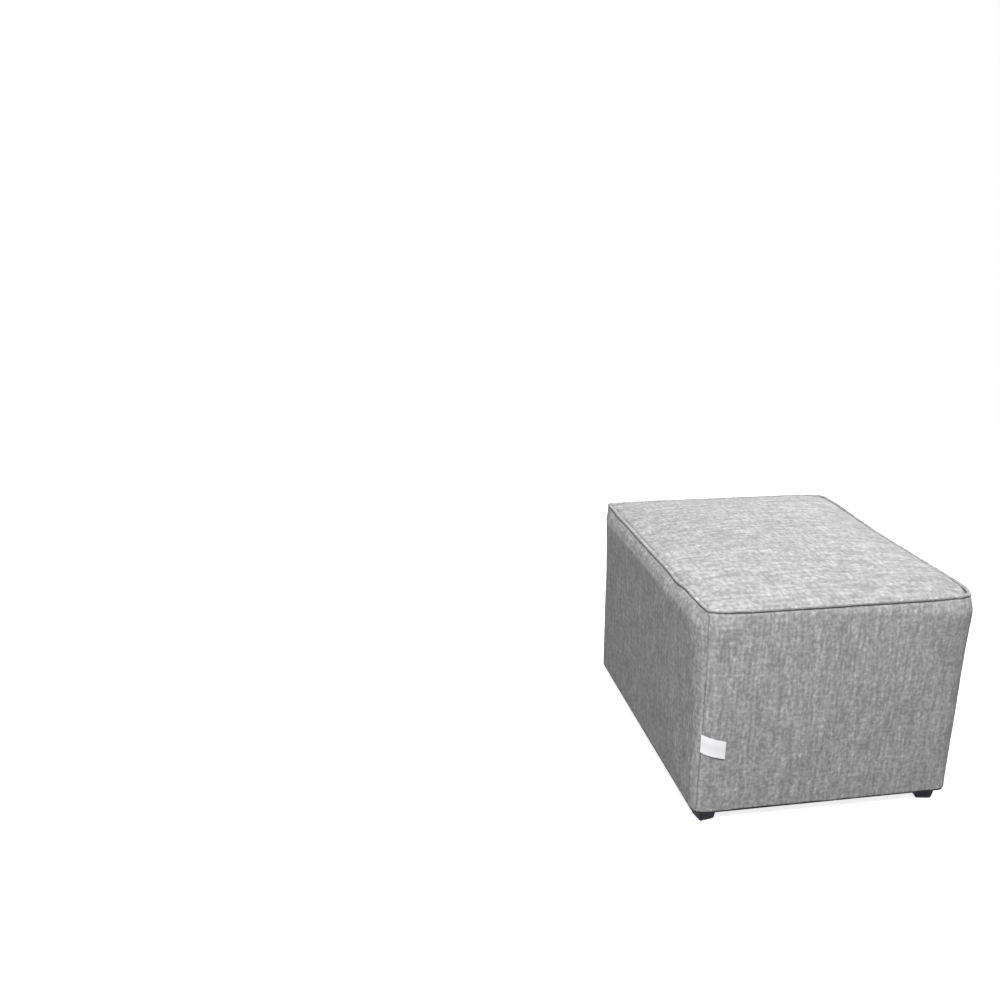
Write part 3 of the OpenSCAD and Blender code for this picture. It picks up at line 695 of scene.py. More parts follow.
wadding_over, wadding_share = padded_top(top_edge_z - foam_gap, crown_z - top_edge_z - cloth_thickness,
                                         top_edge_in + wadding_in, 0.002, 0.007)
thickness = wadding_thickness * np.sqrt(np.clip(1 - wadding_share ** 40, 0.01, 1))
wadding_over[..., 2] -= (wadding_thickness - thickness) / 2
fluff = fluff_height * uneven(wadding_over, fluff_cell)
wadding_under = wadding_over - np.stack([0 * fluff, 0 * fluff, thickness + fluff], -1)
wadding_over[..., 2] += fluff
dress_shell("seat_wadding_layer", wadding_over, wadding_under, wadding, "top_wadding", "wadding")

slab_path = np.array([taper_entry(z, foam_depth) for z in np.linspace(seat_z - 0.001, fold_z, 40)]
                     + [fold_entry(angle, foam_depth) for angle in np.radians([35, 65, 88])])
for number, side in enumerate(SIDES):
    station = station_at(number, np.linspace(slab_end_in, side_length(number) - slab_end_in, 90))[None, :]
    (x, y), out, distance = outline(number, slab_path[:, 0:1], slab_path[:, 2:3], station)
    height = np.broadcast_to(slab_path[:, 1:2], x.shape)
    front_face = np.stack([x, y, height], -1)
    bump = slab_bump * uneven(front_face, slab_bump_cell)[..., None]
    front_face += bump * np.stack([out[0] + 0 * x, out[1] + 0 * x, 0 * x], -1)
    end = (half_l if number % 2 else half_w) - side_foam_back
    back_across = side_foam_back + foam_gap / 2 - (half_w if number % 2 else half_l)
    bend_share = np.clip(station, 0, 1) - 1 + np.clip(station - 2, 0, 1)
    inner_x = (2 * np.clip(station - 1, 0, 1) - 1) * (end - slab_bend) + bend_share * slab_bend
    back_x, back_y = turned(number, inner_x + 0 * x, back_across + 0 * x)
    back_face = np.stack([back_x, back_y, height], -1)
    slab = dress_shell("foam_slab_" + side, front_face, back_face, foam, "side_foam_" + side, "foam")

# Side panels of the cover
# Four panels of linen-look cloth in mixed grey yarns are sewn to each other at the middle of each corner
# and to the piping above. They fold round the bottom edge and are stapled under the frame. Under the seam the
# filling rounds them out, more at the left and at one end of the front.
hem_width, hem_inner_radius = 0.022, 0.001
panel_thickness = 0.0012
seam_depth, seam_width = 0.0026, 0.0010
puff_height, puff_reach = 0.0006, 0.009
pucker_height, pucker_reach, pucker_pitch = 0.0005, 0.018, 0.013
hem_pucker_height, hem_pucker_reach, hem_pucker_pitch = 0.0007, 0.030, 0.0208
seam_stretch, edge_stretch, corner_stretch = 0.2, 0.25, 0.3
hem_tip, hem_tip_width, hem_tip_height = 0.0022, 0.005, 0.006
# At these drops below the seam, the front, the left side and one end of the front are so much fuller, in mm.
fill_drops = np.array([0, 3, 8, 13, 18, 21.4, 25, 60, 110, 160]) / 1000
front_fill = np.array([-0.9, -0.9, -1.3, -2.2, -3.2, -3.85, -3.9, -2.7, -0.9, 0]) / 1000
left_fill = np.array([0, 0.3, 2.3, 2.7, 2.8, 2.95, 3.0, 2.2, 0.9, 0]) / 1000
end_fill = np.array([0.6, 0.9, 2.8, 4.8, 6.0, 6.2, 5.9, 3.9, 1.4, 0]) / 1000
end_start, end_run, corner_fade = 0.070, 0.110, 0.050
unevenness, uneven_cell = 0.0008, 0.085
held_at_seam, free_from_seam, held_at_hem, panels_apart = 0.004, 0.008, 0.01, 0.71
yarn_pitch, fleck_power, yarn_sway, yarn_turn = 0.0015, 1.7, 0.006, 1.618


def linen_weave_group():
    """Plain weave of slubby yarns: each has its own tone, which changes along it."""
    tree, given = open_group("linen_weave", Pale_yarn="Color", Dark_yarn="Color", Yarn_pitch="Float",
                             Fleck_power="Float")
    place, pitch = given["Place"], given["Yarn pitch"]
    parts = put(tree, "ShaderNodeSeparateXYZ", {0: place}).outputs
    numbers, waves, tones = [], [], []
    for axis, other, cell, length in (("X", "Y", (0.03, 0.06, 1), 0.012), ("Y", "X", (0.05, 0.03, 1), 0.007)):
        sway = stretched_noise(tree, place, cell, 1.0, 5.0 * len(tones))
        count = maths(tree, "DIVIDE", maths(tree, "MULTIPLY_ADD", sway, yarn_sway, parts[axis]), pitch)
        number = maths(tree, "FLOOR", count)
        apart = maths(tree, "MULTIPLY", number, yarn_turn)
        run = maths(tree, "DIVIDE", parts[other], length)
        level = 3.3 + 4.0 * len(tones)
        point = put(tree, "ShaderNodeCombineXYZ", {"X": apart, "Y": run, "Z": level}).outputs[0]
        slub = put(tree, "ShaderNodeTexNoise", {"Vector": point, "Scale": 1.0, "Detail": 2.0}).outputs["Fac"]
        numbers.append(number)
        waves.append(maths(tree, "ABSOLUTE", maths(tree, "SINE", maths(tree, "MULTIPLY", count, math.pi))))
        tones.append(slub)
    over = maths(tree, "FLOORED_MODULO", maths(tree, "ADD", *numbers), 2.0)
    woven = maths(tree, "MULTIPLY_ADD", over, maths(tree, "SUBTRACT", *tones), tones[1])
    height = maths(tree, "MULTIPLY_ADD", over, maths(tree, "SUBTRACT", *waves), waves[1])
    streak, cross, speck, cloud = [
        stretched_noise(tree, place, (*cell, 1.0), 1.0, offset)
        for cell, offset in (((0.0049, 0.045), 1.3), ((0.028, 0.0046), 4.7), ((0.0049, 0.0066), 12.9),
                             ((0.016, 0.020), 21.7))]
    tone = 0.5
    for part, weight in ((woven, 0.70), (streak, 0.85), (cross, 0.34), (speck, 1.10), (cloud, 0.38)):
        tone = maths(tree, "MULTIPLY_ADD", maths(tree, "SUBTRACT", part, 0.5), weight, tone)
    fleck = maths(tree, "POWER", maths(tree, "MAXIMUM", tone, 0.0), given["Fleck power"])
    return close_group(tree, mixed(tree, fleck, given["Dark yarn"], given["Pale yarn"]),
                       spread(tree, height, 0.98, 0.86), maths(tree, "MULTIPLY_ADD", height, 0.7, tone))


linen_weave = linen_weave_group()


def linen_finish(name, pale, dark):
    """The cover's cloth, between two greys."""
    finish, tree = open_finish(name, Sheen_Weight=0.05, Sheen_Roughness=0.5, IOR=1.4)
    return group_finish(finish, linen_weave, cloth_place(tree),
                        {"Pale yarn": (pale, pale, pale, 1), "Dark yarn": (dark, dark, dark, 1),
                         "Yarn pitch": yarn_pitch, "Fleck power": fleck_power}, 0.0003)


linen = linen_finish("grey_linen", 0.65, 0.254)
# The upper part of a side in profile: how far in from the widest line and how far below the seam, in mm.
lip_knots = np.array([(8.6, 0.3), (6.6, 0.25), (5.6, 0.9), (5.2, 1.0), (4.8, 1.1), (4.4, 1.4), (4.1, 2.0),
                      (3.5, 3.7), (-1.1, 21.4), (-1.4, 23.2), (-1.5, 25.6), (-1.5, 31.0), (-1.2, 40.0),
                      (-0.7, 54.0), (-0.2, 72.0), (0.0, 90.0)]) / 1000
knot_length = np.concatenate([[0], np.cumsum(np.hypot(*np.diff(lip_knots, axis=0).T))])
lip_length = np.arange(0, knot_length[-1], 0.0004)
lip_shape = np.stack([np.interp(lip_length, knot_length, lip_knots[:, i]) for i in range(2)], -1)


def ease(line, times):
    """Softens the corners of a line of values in place."""
    for _ in range(times):
        line[1:-1] = (line[:-2] + 2 * line[1:-1] + line[2:]) / 4


ease(lip_shape, 8)


def upper_entry(stand_in, drop):
    """Inset, height and corner radius on the lip under the piping, its bevel and its bulge."""
    z = seam_z - drop
    inset, z, radius = taper_entry(z, 0) if z < wide_z else [0.0, z, corner_radius]
    return [inset + stand_in, z, radius - stand_in]


taper_points, fold_points = 50, 13
panel_path = np.array(
    [upper_entry(*point) for point in lip_shape]
    + [taper_entry(z, 0) for z in np.linspace(seam_z - lip_shape[-1, 1], fold_z, taper_points)[1:]]
    + [fold_entry(angle, 0) for angle in np.radians(np.linspace(0, 90, fold_points))[1:]]
    + [[side_draw + hem_width * share, hem_z, hem_corner_radius * (1 - share) + hem_inner_radius * share]
       for share in np.linspace(fold_radius / hem_width, 1, 9)[1:]])
path_steps = np.hypot(np.diff(panel_path[:, 0]), np.diff(panel_path[:, 1]))
path_length = np.concatenate([[0], np.cumsum(path_steps)])
fold_first = len(lip_shape) + taper_points - 2
fold_start, fold_end = path_length[fold_first], path_length[fold_first + fold_points - 1]
lip_end, bevel_end, hem_rows = 0.008, 0.036, 8
panel_rows = np.concatenate([np.linspace(0, lip_end, 17)[:-1], np.linspace(lip_end, bevel_end, 24)[:-1],
                             bevel_end + spaced(fold_start - bevel_end, 0.0012, 0.0034, 1.12),
                             np.linspace(fold_start, fold_end, 8)[1:],
                             np.linspace(fold_end, path_length[-1], hem_rows + 1)[1:]])
entries = np.stack([np.interp(panel_rows, path_length, panel_path[:, i]) for i in range(3)], -1)
tangents = np.stack([np.gradient(panel_path[:, i], path_length) for i in range(2)], -1)
lean = np.stack([np.interp(panel_rows, path_length, -tangents[:, 1 - i]) for i in range(2)], -1)
lean /= np.hypot(lean[:, :1], lean[:, 1:])


def seam_relief(distance):
    """Height off the smooth surface beside a sewn seam: a narrow valley, then a slight swelling."""
    valley = -seam_depth * np.exp(-(distance / seam_width) ** 2)
    return valley + puff_height * (distance / puff_reach) ** 2 * np.exp(1 - (distance / puff_reach) ** 2)


def wavy(points):
    """Slow waves of the cloth, with smaller ones on them."""
    return unevenness * (uneven(points, uneven_cell) + uneven(points, uneven_cell / 3) / 4)


def smooth_step(share):
    share = np.clip(share, 0, 1)
    return share ** 2 * (3 - 2 * share)


def side_fill(number, distance, drop, from_corner):
    """How much fuller each side is under the seam, more at the left and at one end of the front."""
    fine = np.arange(0, fill_drops[-1], 0.001)
    curves = []
    for fill in (front_fill, left_fill, end_fill):
        curve = np.interp(fine, fill_drops, fill)
        ease(curve, 4)
        curves.append(np.interp(drop, fine, curve))
    front, left, end = curves
    front_side = front + end * smooth_step((distance - end_start) / end_run)
    return smooth_step(from_corner / corner_fade) * [front_side, 0 * drop, front / 2, left][number]


def side_surface(number):
    """Outer face of one side panel, its outward directions, and the cloth's own coordinates."""
    columns = spaced(side_length(number), 0.0005, 0.0034, 1.2)
    station = station_at(number, columns)[None, :]
    (x, y), out, distance = outline(number, entries[:, 0:1], entries[:, 2:3], station)
    move_x, move_y = corner_pull(x, y, entries[:, 0:1], entries[:, 2:3])
    fade = np.exp(-panel_rows[:, None] / pull_fade)
    x, y = x + move_x * fade, y + move_y * fade
    z = np.broadcast_to(entries[:, 1:2], x.shape)
    smooth = np.stack([x, y, z], -1)
    lean_out, lean_up = lean[:, 0:1], lean[:, 1:2]
    outward = np.stack([out[0] * lean_out, out[1] * lean_out, lean_up + 0 * x], -1)
    from_corner = np.minimum(columns, columns[-1] - columns)[None, :] + 0 * x
    from_top = panel_rows[:, None] + 0 * x
    from_hem = abs(fold_end - panel_rows)[:, None] + 0 * x
    under_seam = np.stack([x[0] + 0 * x, y[0] + 0 * x, from_top * seam_stretch], -1)
    over_hem = np.stack([x[-hem_rows - 1] + 0 * x, y[-hem_rows - 1] + 0 * x, from_hem * edge_stretch], -1)
    beside = np.stack([corner_stretch * x, corner_stretch * y, z], -1)
    offset = seam_relief(from_corner) + wavy(smooth)
    for place, height, from_seam, reach, pitch in (
            (beside, pucker_height, from_corner, pucker_reach, pucker_pitch),
            (under_seam, pucker_height, from_top, pucker_reach, pucker_pitch),
            (over_hem, hem_pucker_height, from_hem, hem_pucker_reach, hem_pucker_pitch)):
        offset += height * np.exp(-from_seam / reach) * uneven(place, pitch)
    offset *= np.clip((from_top - held_at_seam) / free_from_seam, 0, 1)
    offset *= np.clip((path_length[-1] - from_top) / held_at_hem, 0, 1)
    offset += side_fill(number, distance, seam_z - z, from_corner)
    at_tip = np.exp(-from_corner / hem_tip_width - ((z - hem_z) / hem_tip_height) ** 2)
    offset += hem_tip * at_tip * np.clip(lean_out, 0, 1)
    cloth_uv = np.stack([distance + panels_apart * number, -from_top], -1)
    return smooth + outward * offset[..., None], outward, cloth_uv


side_surfaces = [side_surface(number) for number in range(4)]

# Top panel of the cover
# One flat-cut panel of the same cloth lies taut over the crowned wadding, with its yarns running across it.
# It is drawn down hard at the seam, where its edge goes in under the piping, and puckers a little along it.
top_under, valley_depth, valley_width = 0.0030, 0.0045, 0.0014
top_in = top_edge_in - top_under
top_low, top_rise = top_edge_z + cloth_thickness, crown_z - top_edge_z - cloth_thickness
top_weave_share = 0.6
top_smooth, top_share = padded_top(top_low, top_rise, top_in, 0.0006, 0.0048)
from_edge = (1 - top_share) * (half_w - top_in)
edge_point = top_smooth / np.maximum(top_share, 0.01)[..., None]
edge_point[..., 2] = from_edge * edge_stretch
top_offset = -valley_depth * np.exp(-(np.maximum(from_edge - top_under, 0) / valley_width) ** 2)
top_offset += pucker_height * np.exp(-from_edge / pucker_reach) * uneven(edge_point, pucker_pitch)
top_offset += wavy(top_smooth)
top_moves = corner_pull(edge_point[..., 0], edge_point[..., 1], top_in, corner_radius - top_in)
top_surface = top_smooth.copy()
top_surface[..., 2] += top_offset
for axis in (0, 1):
    top_surface[..., axis] += top_moves[axis] * np.exp(-from_edge / pull_fade)
top_outward = np.zeros(top_surface.shape) + (0, 0, 1)
top_uv = np.stack([top_smooth[..., 1] * top_weave_share, top_smooth[..., 0]], -1)
# The top's copy of the same cloth has its pale yarns a little darker than on the sides: painted shade that
# sets how bright the top reads under the lamps.
top_linen_painted_shade = linen_finish("grey_linen_top_painted_shade", 0.605, 0.258)

# Swelling of the cover panels
# The filling presses the sewn cover outward, and a cloth simulation of the closed cover finds by how much.
# The piping, the corner seams and the bottom edge hold it. The cover is firm, so a fifth of the move is kept,
# and with it the five panels get their last shape.
swell_start, swell_voxel, swell_hold, swell_pressure, swell_frames = 0.997, 0.006, 0.012, 4.0, 20
swell_fine, swell_coarse, swell_floor_share, corner_seam_share, never_near = 0.005, 0.010, 0.98, 0.3, 1.0
swell_share, swell_cap, swell_near, least_weight = 0.2, 0.002, 12, 1e-12


def swelling_mesh():
    """Closed even mesh of the cover, a little smaller than it."""
    rows = np.concatenate([np.linspace(lip_end, bevel_end, 6)[:-1], np.linspace(bevel_end, fold_start, 40),
                           [fold_end]])
    wall = np.stack([np.interp(rows, path_length, panel_path[:, i]) for i in range(3)], -1)
    over, share = padded_top(top_low, top_rise, top_edge_in, swell_fine, swell_coarse, wall)
    over[..., :2] *= swell_start
    under = over * (swell_floor_share, swell_floor_share, 0) + (0, 0, hem_z)
    cover = place_object("swelling_cover", shell_mesh("swelling_cover", over, under))
    remesh = cover.modifiers.new("remesh", "REMESH")
    remesh.mode, remesh.voxel_size = "VOXEL", swell_voxel
    keep_result(cover)
    return cover


def vertex_places(mesh):
    places = np.empty(len(mesh.vertices) * 3)
    mesh.vertices.foreach_get("co", places)
    return places.reshape(-1, 3)


def swollen_cover():
    """Where the closed cover's points lie at first, and how far the filling moves them."""
    cover = swelling_mesh()
    start = vertex_places(cover.data)
    in_x, in_y, z = half_w - abs(start[:, 0]), half_l - abs(start[:, 1]), start[:, 2]
    at_piping = np.hypot(z - seam_z, np.maximum(np.minimum(in_x, in_y) - top_edge_in, 0))
    at_corner = np.hypot(in_x - corner_radius * corner_seam_share, in_y - corner_radius * corner_seam_share)
    at_corner = np.where(z < seam_z, at_corner, never_near)
    held = np.minimum(np.minimum(at_piping, at_corner), z - hem_z) < swell_hold
    cover.vertex_groups.new(name="held").add(np.nonzero(held)[0].tolist(), 1.0, "REPLACE")
    cloth = cover.modifiers.new("cloth", "CLOTH").settings
    cloth.use_pressure, cloth.uniform_pressure_force = True, swell_pressure
    cloth.effector_weights.gravity = 0
    cloth.vertex_group_mass = "held"
    for frame_number in range(1, swell_frames + 1):
        bpy.context.scene.frame_set(frame_number)
    swollen = vertex_places(cover.evaluated_get(bpy.context.evaluated_depsgraph_get()).data)
    bpy.context.scene.frame_set(1)
    bpy.data.objects.remove(cover)
    return start, swollen - start


start, moves = swollen_cover()
moves *= swell_share
moves *= np.minimum(1, swell_cap / np.maximum(np.linalg.norm(moves, axis=1), swell_cap))[:, None]
nearby = kdtree.KDTree(len(start))
for number, point in enumerate(start):
    nearby.insert(point, number)
nearby.balance()
for surface in [top_surface] + [entry[0] for entry in side_surfaces]:
    for point in surface.reshape(-1, 3):
        near = nearby.find_n(point, swell_near)
        weights = np.exp(-(np.array([entry[2] for entry in near]) / swell_voxel) ** 2) + least_weight
        point += weights @ moves[[entry[1] for entry in near]] / weights.sum()

for number, side in enumerate(SIDES):
    surface, outward, cloth_uv = side_surfaces[number]
    panel = dress_shell("side_cover_" + side, surface, surface - panel_thickness * outward, linen,
                        "side_panel_" + side, "cover_cloth", cloth_uv)
top_panel = dress_shell("top_cover", top_surface, top_surface - panel_thickness * top_outward, top_linen_painted_shade,
                        "top_cover_panel", "cover_cloth", top_uv)

# Piping
# A bias-cut strip of the same cloth is wrapped over a soft cord and sewn in between the top and the sides.
# Its ends cross on the left side, and it bends a little out of line in front of the join.
piping_low, piping_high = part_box("piping_sleeve")
cord_low, cord_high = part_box("piping_cord")
piping_radius, cord_radius = (piping_high.z - piping_low.z) / 2, (cord_high.z - cord_low.z) / 2
piping_z = (piping_high.z + piping_low.z) / 2 + 0.0009
piping_in = half_w - piping_high.x + piping_radius + 0.0004
piping_wander, wander_cell, lift_cell, piping_step = 0.0004, 0.035, 0.045, 0.002
piping_swell, swell_cell, join_swell, join_swell_length, join_pinch = 0.045, 0.016, 0.10, 0.007, 0.84
piping_spread, left_out = 1.1, 0.0007
join_y, join_length, kink_y, kink_length, kink_depth = 0.011, 0.014, -0.160, 0.022, 0.0020


def store(tree, geometry, name, value, kind="FLOAT", domain="POINT"):
    return put(tree, "GeometryNodeStoreNamedAttribute", {"Geometry": geometry, "Name": name, "Value": value},
               data_type=kind, domain=domain).outputs[0]


def tube_tree():
    """Sweeps a hollow round section along a closed path, with the cloth's own coordinates set on the bias."""
    tree, given = open_tree("covered_piping", Path="Geometry", Radius="Float", Bore_radius="Float",
                            Sides="Int", Finish="Material", Spread="Float")
    length = put(tree, "GeometryNodeSplineParameter").outputs["Length"]
    path = put(tree, "GeometryNodeMeshToCurve", {"Mesh": given["Path"]}).outputs[0]
    upright = put(tree, "GeometryNodeSetCurveNormal", {"Curve": path}, mode="Z_UP").outputs[0]
    outer, bore = [put(tree, "GeometryNodeCurvePrimitiveCircle",
                       {"Resolution": given["Sides"], "Radius": given[label]}).outputs[0]
                   for label in ("Radius", "Bore radius")]
    both = put(tree, "GeometryNodeJoinGeometry")
    tree.links.new(outer, both.inputs[0])
    tree.links.new(put(tree, "GeometryNodeReverseCurve", {"Curve": bore}).outputs[0], both.inputs[0])
    wide = put(tree, "ShaderNodeCombineXYZ", {"X": given["Spread"], "Y": 1.0, "Z": 1.0}).outputs[0]
    pressed = put(tree, "GeometryNodeTransform", {"Geometry": both.outputs[0], "Scale": wide}).outputs[0]
    curve, section = store(tree, upright, "run", length), store(tree, pressed, "round", length)
    swell = attribute(tree, "swell")
    tube = put(tree, "GeometryNodeCurveToMesh",
               {"Curve": curve, "Profile Curve": section, "Scale": swell, "Fill Caps": False}).outputs[0]
    run, wrap = attribute(tree, "run"), attribute(tree, "round")
    bias = put(tree, "ShaderNodeCombineXYZ",
               {"X": maths(tree, "ADD", run, wrap), "Y": maths(tree, "SUBTRACT", run, wrap)}).outputs[0]
    half = put(tree, "ShaderNodeVectorMath", {0: bias, "Scale": math.sqrt(0.5)}, operation="SCALE").outputs[0]
    return close_tree(tree, store(tree, tube, "cloth", half, "FLOAT2", "CORNER"), given["Finish"])


covered_tube = tube_tree()


def piping_path():
    """Closed line of the piping with its slight wander and kink, and how far it swells at each point."""
    line = []
    radius = corner_radius - piping_in
    for number in range(4):
        length = side_length(number, piping_in, radius)
        stops = np.linspace(0, length, int(length / piping_step) + 1)[:-1]
        station = station_at(number, stops, piping_in, radius)
        (x, y), out, distance = outline(number, piping_in, radius, station)
        move_x, move_y = corner_pull(x, y, piping_in, radius)
        line.append(np.stack([x + move_x, y + move_y, 0 * x, out[0] + 0 * x, out[1] + 0 * x], -1))
    line = np.concatenate(line)
    start = np.argmin(np.hypot(line[:, 0] + half_w - piping_in, line[:, 1] - join_y))
    line = np.roll(line, -start, 0)
    place = line[:, :3] + (0, 0, piping_z)
    from_join = np.arange(len(line)) * piping_step - join_length / 2
    from_kink = (line[:, 1] - kink_y) / kink_length
    kink = np.where(line[:, 0] < 0, kink_depth * from_kink * np.exp(0.5 - from_kink ** 2 / 2), 0)
    sideways = piping_wander * uneven(place, wander_cell) + kink + left_out * np.clip(-line[:, 3], 0, 1)
    lift = piping_wander * uneven(place + 0.5, lift_cell)
    swell = 1 + piping_swell * uneven(place + 0.9, swell_cell)
    swell += join_swell * np.exp(-(from_join / join_swell_length) ** 2)
    swell[0] = swell[-1] = join_pinch
    return place + np.stack([line[:, 3] * sideways, line[:, 4] * sideways, lift], -1), swell


def tube_piece(name, radius, bore, sides, finish, node):
    """A hollow round piece along the piping's line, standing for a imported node."""
    place, swell = piping_path()
    count = len(place)
    mesh = bpy.data.meshes.new(name)
    mesh.from_pydata(place.tolist(), [(i, (i + 1) % count) for i in range(count)], [])
    mesh.attributes.new("swell", "FLOAT", "POINT").data.foreach_set("value", swell)
    piece = place_object(name, mesh)
    bake_nodes(piece, covered_tube, {"Radius": radius, "Bore radius": bore, "Sides": sides, "Finish": finish,
                                     "Spread": piping_spread})
    piece.data.shade_smooth()
    dress(piece, finish, node)


def cord_finish():
    """Loosely twisted filler cord."""
    finish, tree = open_finish("twisted_cord", Sheen_Weight=0.2)
    strands = stretched_noise(tree, cloth_place(tree), (0.0004, 0.004, 1.0), 2.0)
    return close_finish(finish, mixed(tree, strands, (0.6, 0.58, 0.53, 1), (0.9, 0.88, 0.84, 1)),
                        spread(tree, strands, 0.8, 1.0), strands, 0.0004)


sleeve_radius, sleeve_bore, filler_radius, filler_bore = (
    piping_radius * 0.97, cord_radius * 1.03, cord_radius * 0.98, cord_radius * 0.2)
tube_piece("piping_cover", sleeve_radius, sleeve_bore, 16, linen, "piping_sleeve")
tube_piece("piping_filler", filler_radius, filler_bore, 10, cord_finish(), "piping_cord")

# Sewn label
# A strip of white satin, folded in half and left blank, is caught in the corner seam by its cut ends.
# It lies over the front panel, droops a little and stands slightly off it at its folded end.
label_length, label_height, label_droop = 0.040, 0.030, math.radians(14)
label_z = hem_z + 0.122
label_off, leaf_thickness, leaf_gap, label_curl, label_wave = 0.0006, 0.00022, 0.00018, 0.0016, 0.0002


def label_point(along, z, off):
    """Point over the front panel at a distance from the front left corner seam, standing off the cover."""
    inset, level, radius = np.moveaxis(np.array([taper_entry(height, 0) for height in np.ravel(z)]), -1, 0)
    inset, radius = inset.reshape(np.shape(z)) - off, radius.reshape(np.shape(z)) + off
    arc = radius * math.pi / 4
    angle = np.radians(225) + np.minimum(along, arc) / radius
    x = radius * np.cos(angle) - (half_w - inset - radius) + np.maximum(along - arc, 0)
    return np.stack([x, radius * np.sin(angle) - (half_l - inset - radius), z], -1)


def satin_finish():
    finish, tree = open_finish("white_satin", Sheen_Weight=0.1, Specular_IOR_Level=0.6)
    thread = stretched_noise(tree, cloth_place(tree), (0.004, 0.0003, 1.0), 2.0)
    return close_finish(finish, mixed(tree, thread, (0.88, 0.88, 0.9, 1), (0.94, 0.94, 0.96, 1)),
                        spread(tree, thread, 0.38, 0.55), thread, 0.00008)


leaf = (leaf_thickness + leaf_gap) / 2
bend = np.radians(np.linspace(90, -90, 9))
straight = np.linspace(0, label_length - leaf, 30)
strip_along = np.concatenate([straight, label_length - leaf + leaf * np.cos(bend)[1:-1], straight[::-1]])
strip_turn = np.concatenate([np.full(30, math.pi / 2), bend[1:-1], np.full(30, -math.pi / 2)])
strip_off = leaf * np.sin(strip_turn)
curl = label_off + leaf + leaf_thickness + label_curl * (strip_along / label_length) ** 2
rows_up = np.linspace(0.5, -0.5, 13)[:, None] * label_height
label_faces = []
for half in (leaf_thickness / 2, -leaf_thickness / 2):
    along = strip_along + half * np.cos(strip_turn)
    height = label_z - along * math.tan(label_droop) + rows_up
    off = curl + strip_off + half * np.sin(strip_turn) + label_wave * np.sin(9 * rows_up / label_height)
    label_faces.append(label_point(along[None, :] + 0 * rows_up, height, off))
strip_run = np.concatenate([[0], np.cumsum(np.hypot(np.diff(strip_along), np.diff(strip_off)))])
label_uv = np.stack([strip_run[None, :] + 0 * rows_up, rows_up + 0 * strip_run[None, :]], -1)
label = dress_shell("blank_label", *label_faces, satin_finish(), "label", "label_satin", label_uv)

# Dust cover
# A black spun cloth closes the underside. It is stapled through the turned-under hems to the bottom rails,
# sags a little between them, and has a hole round each stud.
dust_low, dust_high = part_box("dust_cover")
dust_in, dust_radius, dust_thickness, dust_rings = half_w - dust_high.x, 0.014, 0.0004, 48
dust_sag, sag_start, sag_run, sag_cell, dust_off = 0.0014, 0.045, 0.08, 0.09, 0.0001
dust_hole, hole_reach = 0.005, 0.01
edge_reach, edge_droop, edge_run = 0.0082, 0.0007, 0.005
dust_staple_pitch, dust_staple_in = 0.06, 0.017
x, y, ring = square_rings(np.full(dust_rings, dust_in - edge_reach), np.full(dust_rings, dust_radius),
                          np.linspace(0, 1, dust_rings))
inward = np.minimum(dust_high.x - abs(x), dust_high.y - abs(y)) + edge_reach
sheet_top = np.stack([x, y, np.full(x.shape, dust_high.z)], -1)
slack = np.clip((inward - edge_reach - sag_start) / sag_run, 0, 1) ** 2
sheet_top[..., 2] -= dust_off + slack * dust_sag * (0.7 + 0.5 * uneven(sheet_top, sag_cell))
sheet_top[..., 2] -= edge_droop * np.clip(1 - inward / edge_run, 0, 1)
sheet_low = sheet_top - (0, 0, dust_thickness)
under = place_object("underside_cloth", shell_mesh("underside_cloth", sheet_top, sheet_low))
stud_places = {corner: sum(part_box("foot_pad_" + corner), Vector()) / 2 for corner in CORNERS}


def drum_mesh(name, rings):
    """Closed mesh of rings of points, each read anticlockwise as seen from above, from the lowest up."""
    count, sides = rings.shape[:2]
    i, j = np.meshgrid(np.arange(count - 1), np.arange(sides), indexing="ij")
    nxt = (j + 1) % sides
    walls = np.stack([i * sides + j, i * sides + nxt, (i + 1) * sides + nxt, (i + 1) * sides + j], -1)
    mesh = bpy.data.meshes.new(name)
    ends = [list(range(sides))[::-1], list(range((count - 1) * sides, count * sides))]
    mesh.from_pydata(rings.reshape(-1, 3).tolist(), [], walls.reshape(-1, 4).tolist() + ends)
    mesh.shade_smooth()
    mesh.set_sharp_from_angle(angle=math.radians(40))
    return mesh


circle = np.radians(np.arange(0, 360, 11.25))
circle = dust_hole * np.stack([np.cos(circle), np.sin(circle), 0 * circle], -1)
for centre in stud_places.values():
    ring = circle + (centre.x, centre.y, 0)
    cutter = place_object("hole", drum_mesh("hole", np.stack([ring + (0, 0, dust_low.z - hole_reach),
                                                              ring + (0, 0, dust_high.z + hole_reach)])))
    boolean = under.modifiers.new("hole", "BOOLEAN")
    boolean.object, boolean.operation, boolean.solver = cutter, "DIFFERENCE", "EXACT"
    keep_result(under)
    bpy.data.objects.remove(cutter)
dress(under, spun_finish("black_spun_cloth", (0.008, 0.008, 0.009, 1), (0.035, 0.035, 0.038, 1)),
      "dust_cover")
staple_piece("underside_staples_wire", "dust_cover_staples", [
    on_side(side, x, side_draw + dust_staple_in + frame_x - half_w, dust_low.z - staple_wire, math.pi)
    for side in range(4) for x in row_places(side, dust_staple_pitch)])

# Feet
# Each foot is a tapered block of black moulded plastic with rounded edges, a plated M8 stud and a felt pad.
# The stud screws up through a washer into the insert of the post above.
thread_pitch, stud_minor, stud_major, thread_run_out = 0.00125, 0.00335, 0.00395, 0.0012
foot_low, foot_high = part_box("foot_front_left")
foot_top_half, foot_base_half, foot_edge = 0.0155, 0.013, 0.0024
foot_turn, pad_half = math.radians(10), 0.012
stud_hole, stud_hole_depth, stud_hole_rim = 0.0041, 0.012, 0.0008
foot_hollow, foot_groove = 0.0004, 0.00035


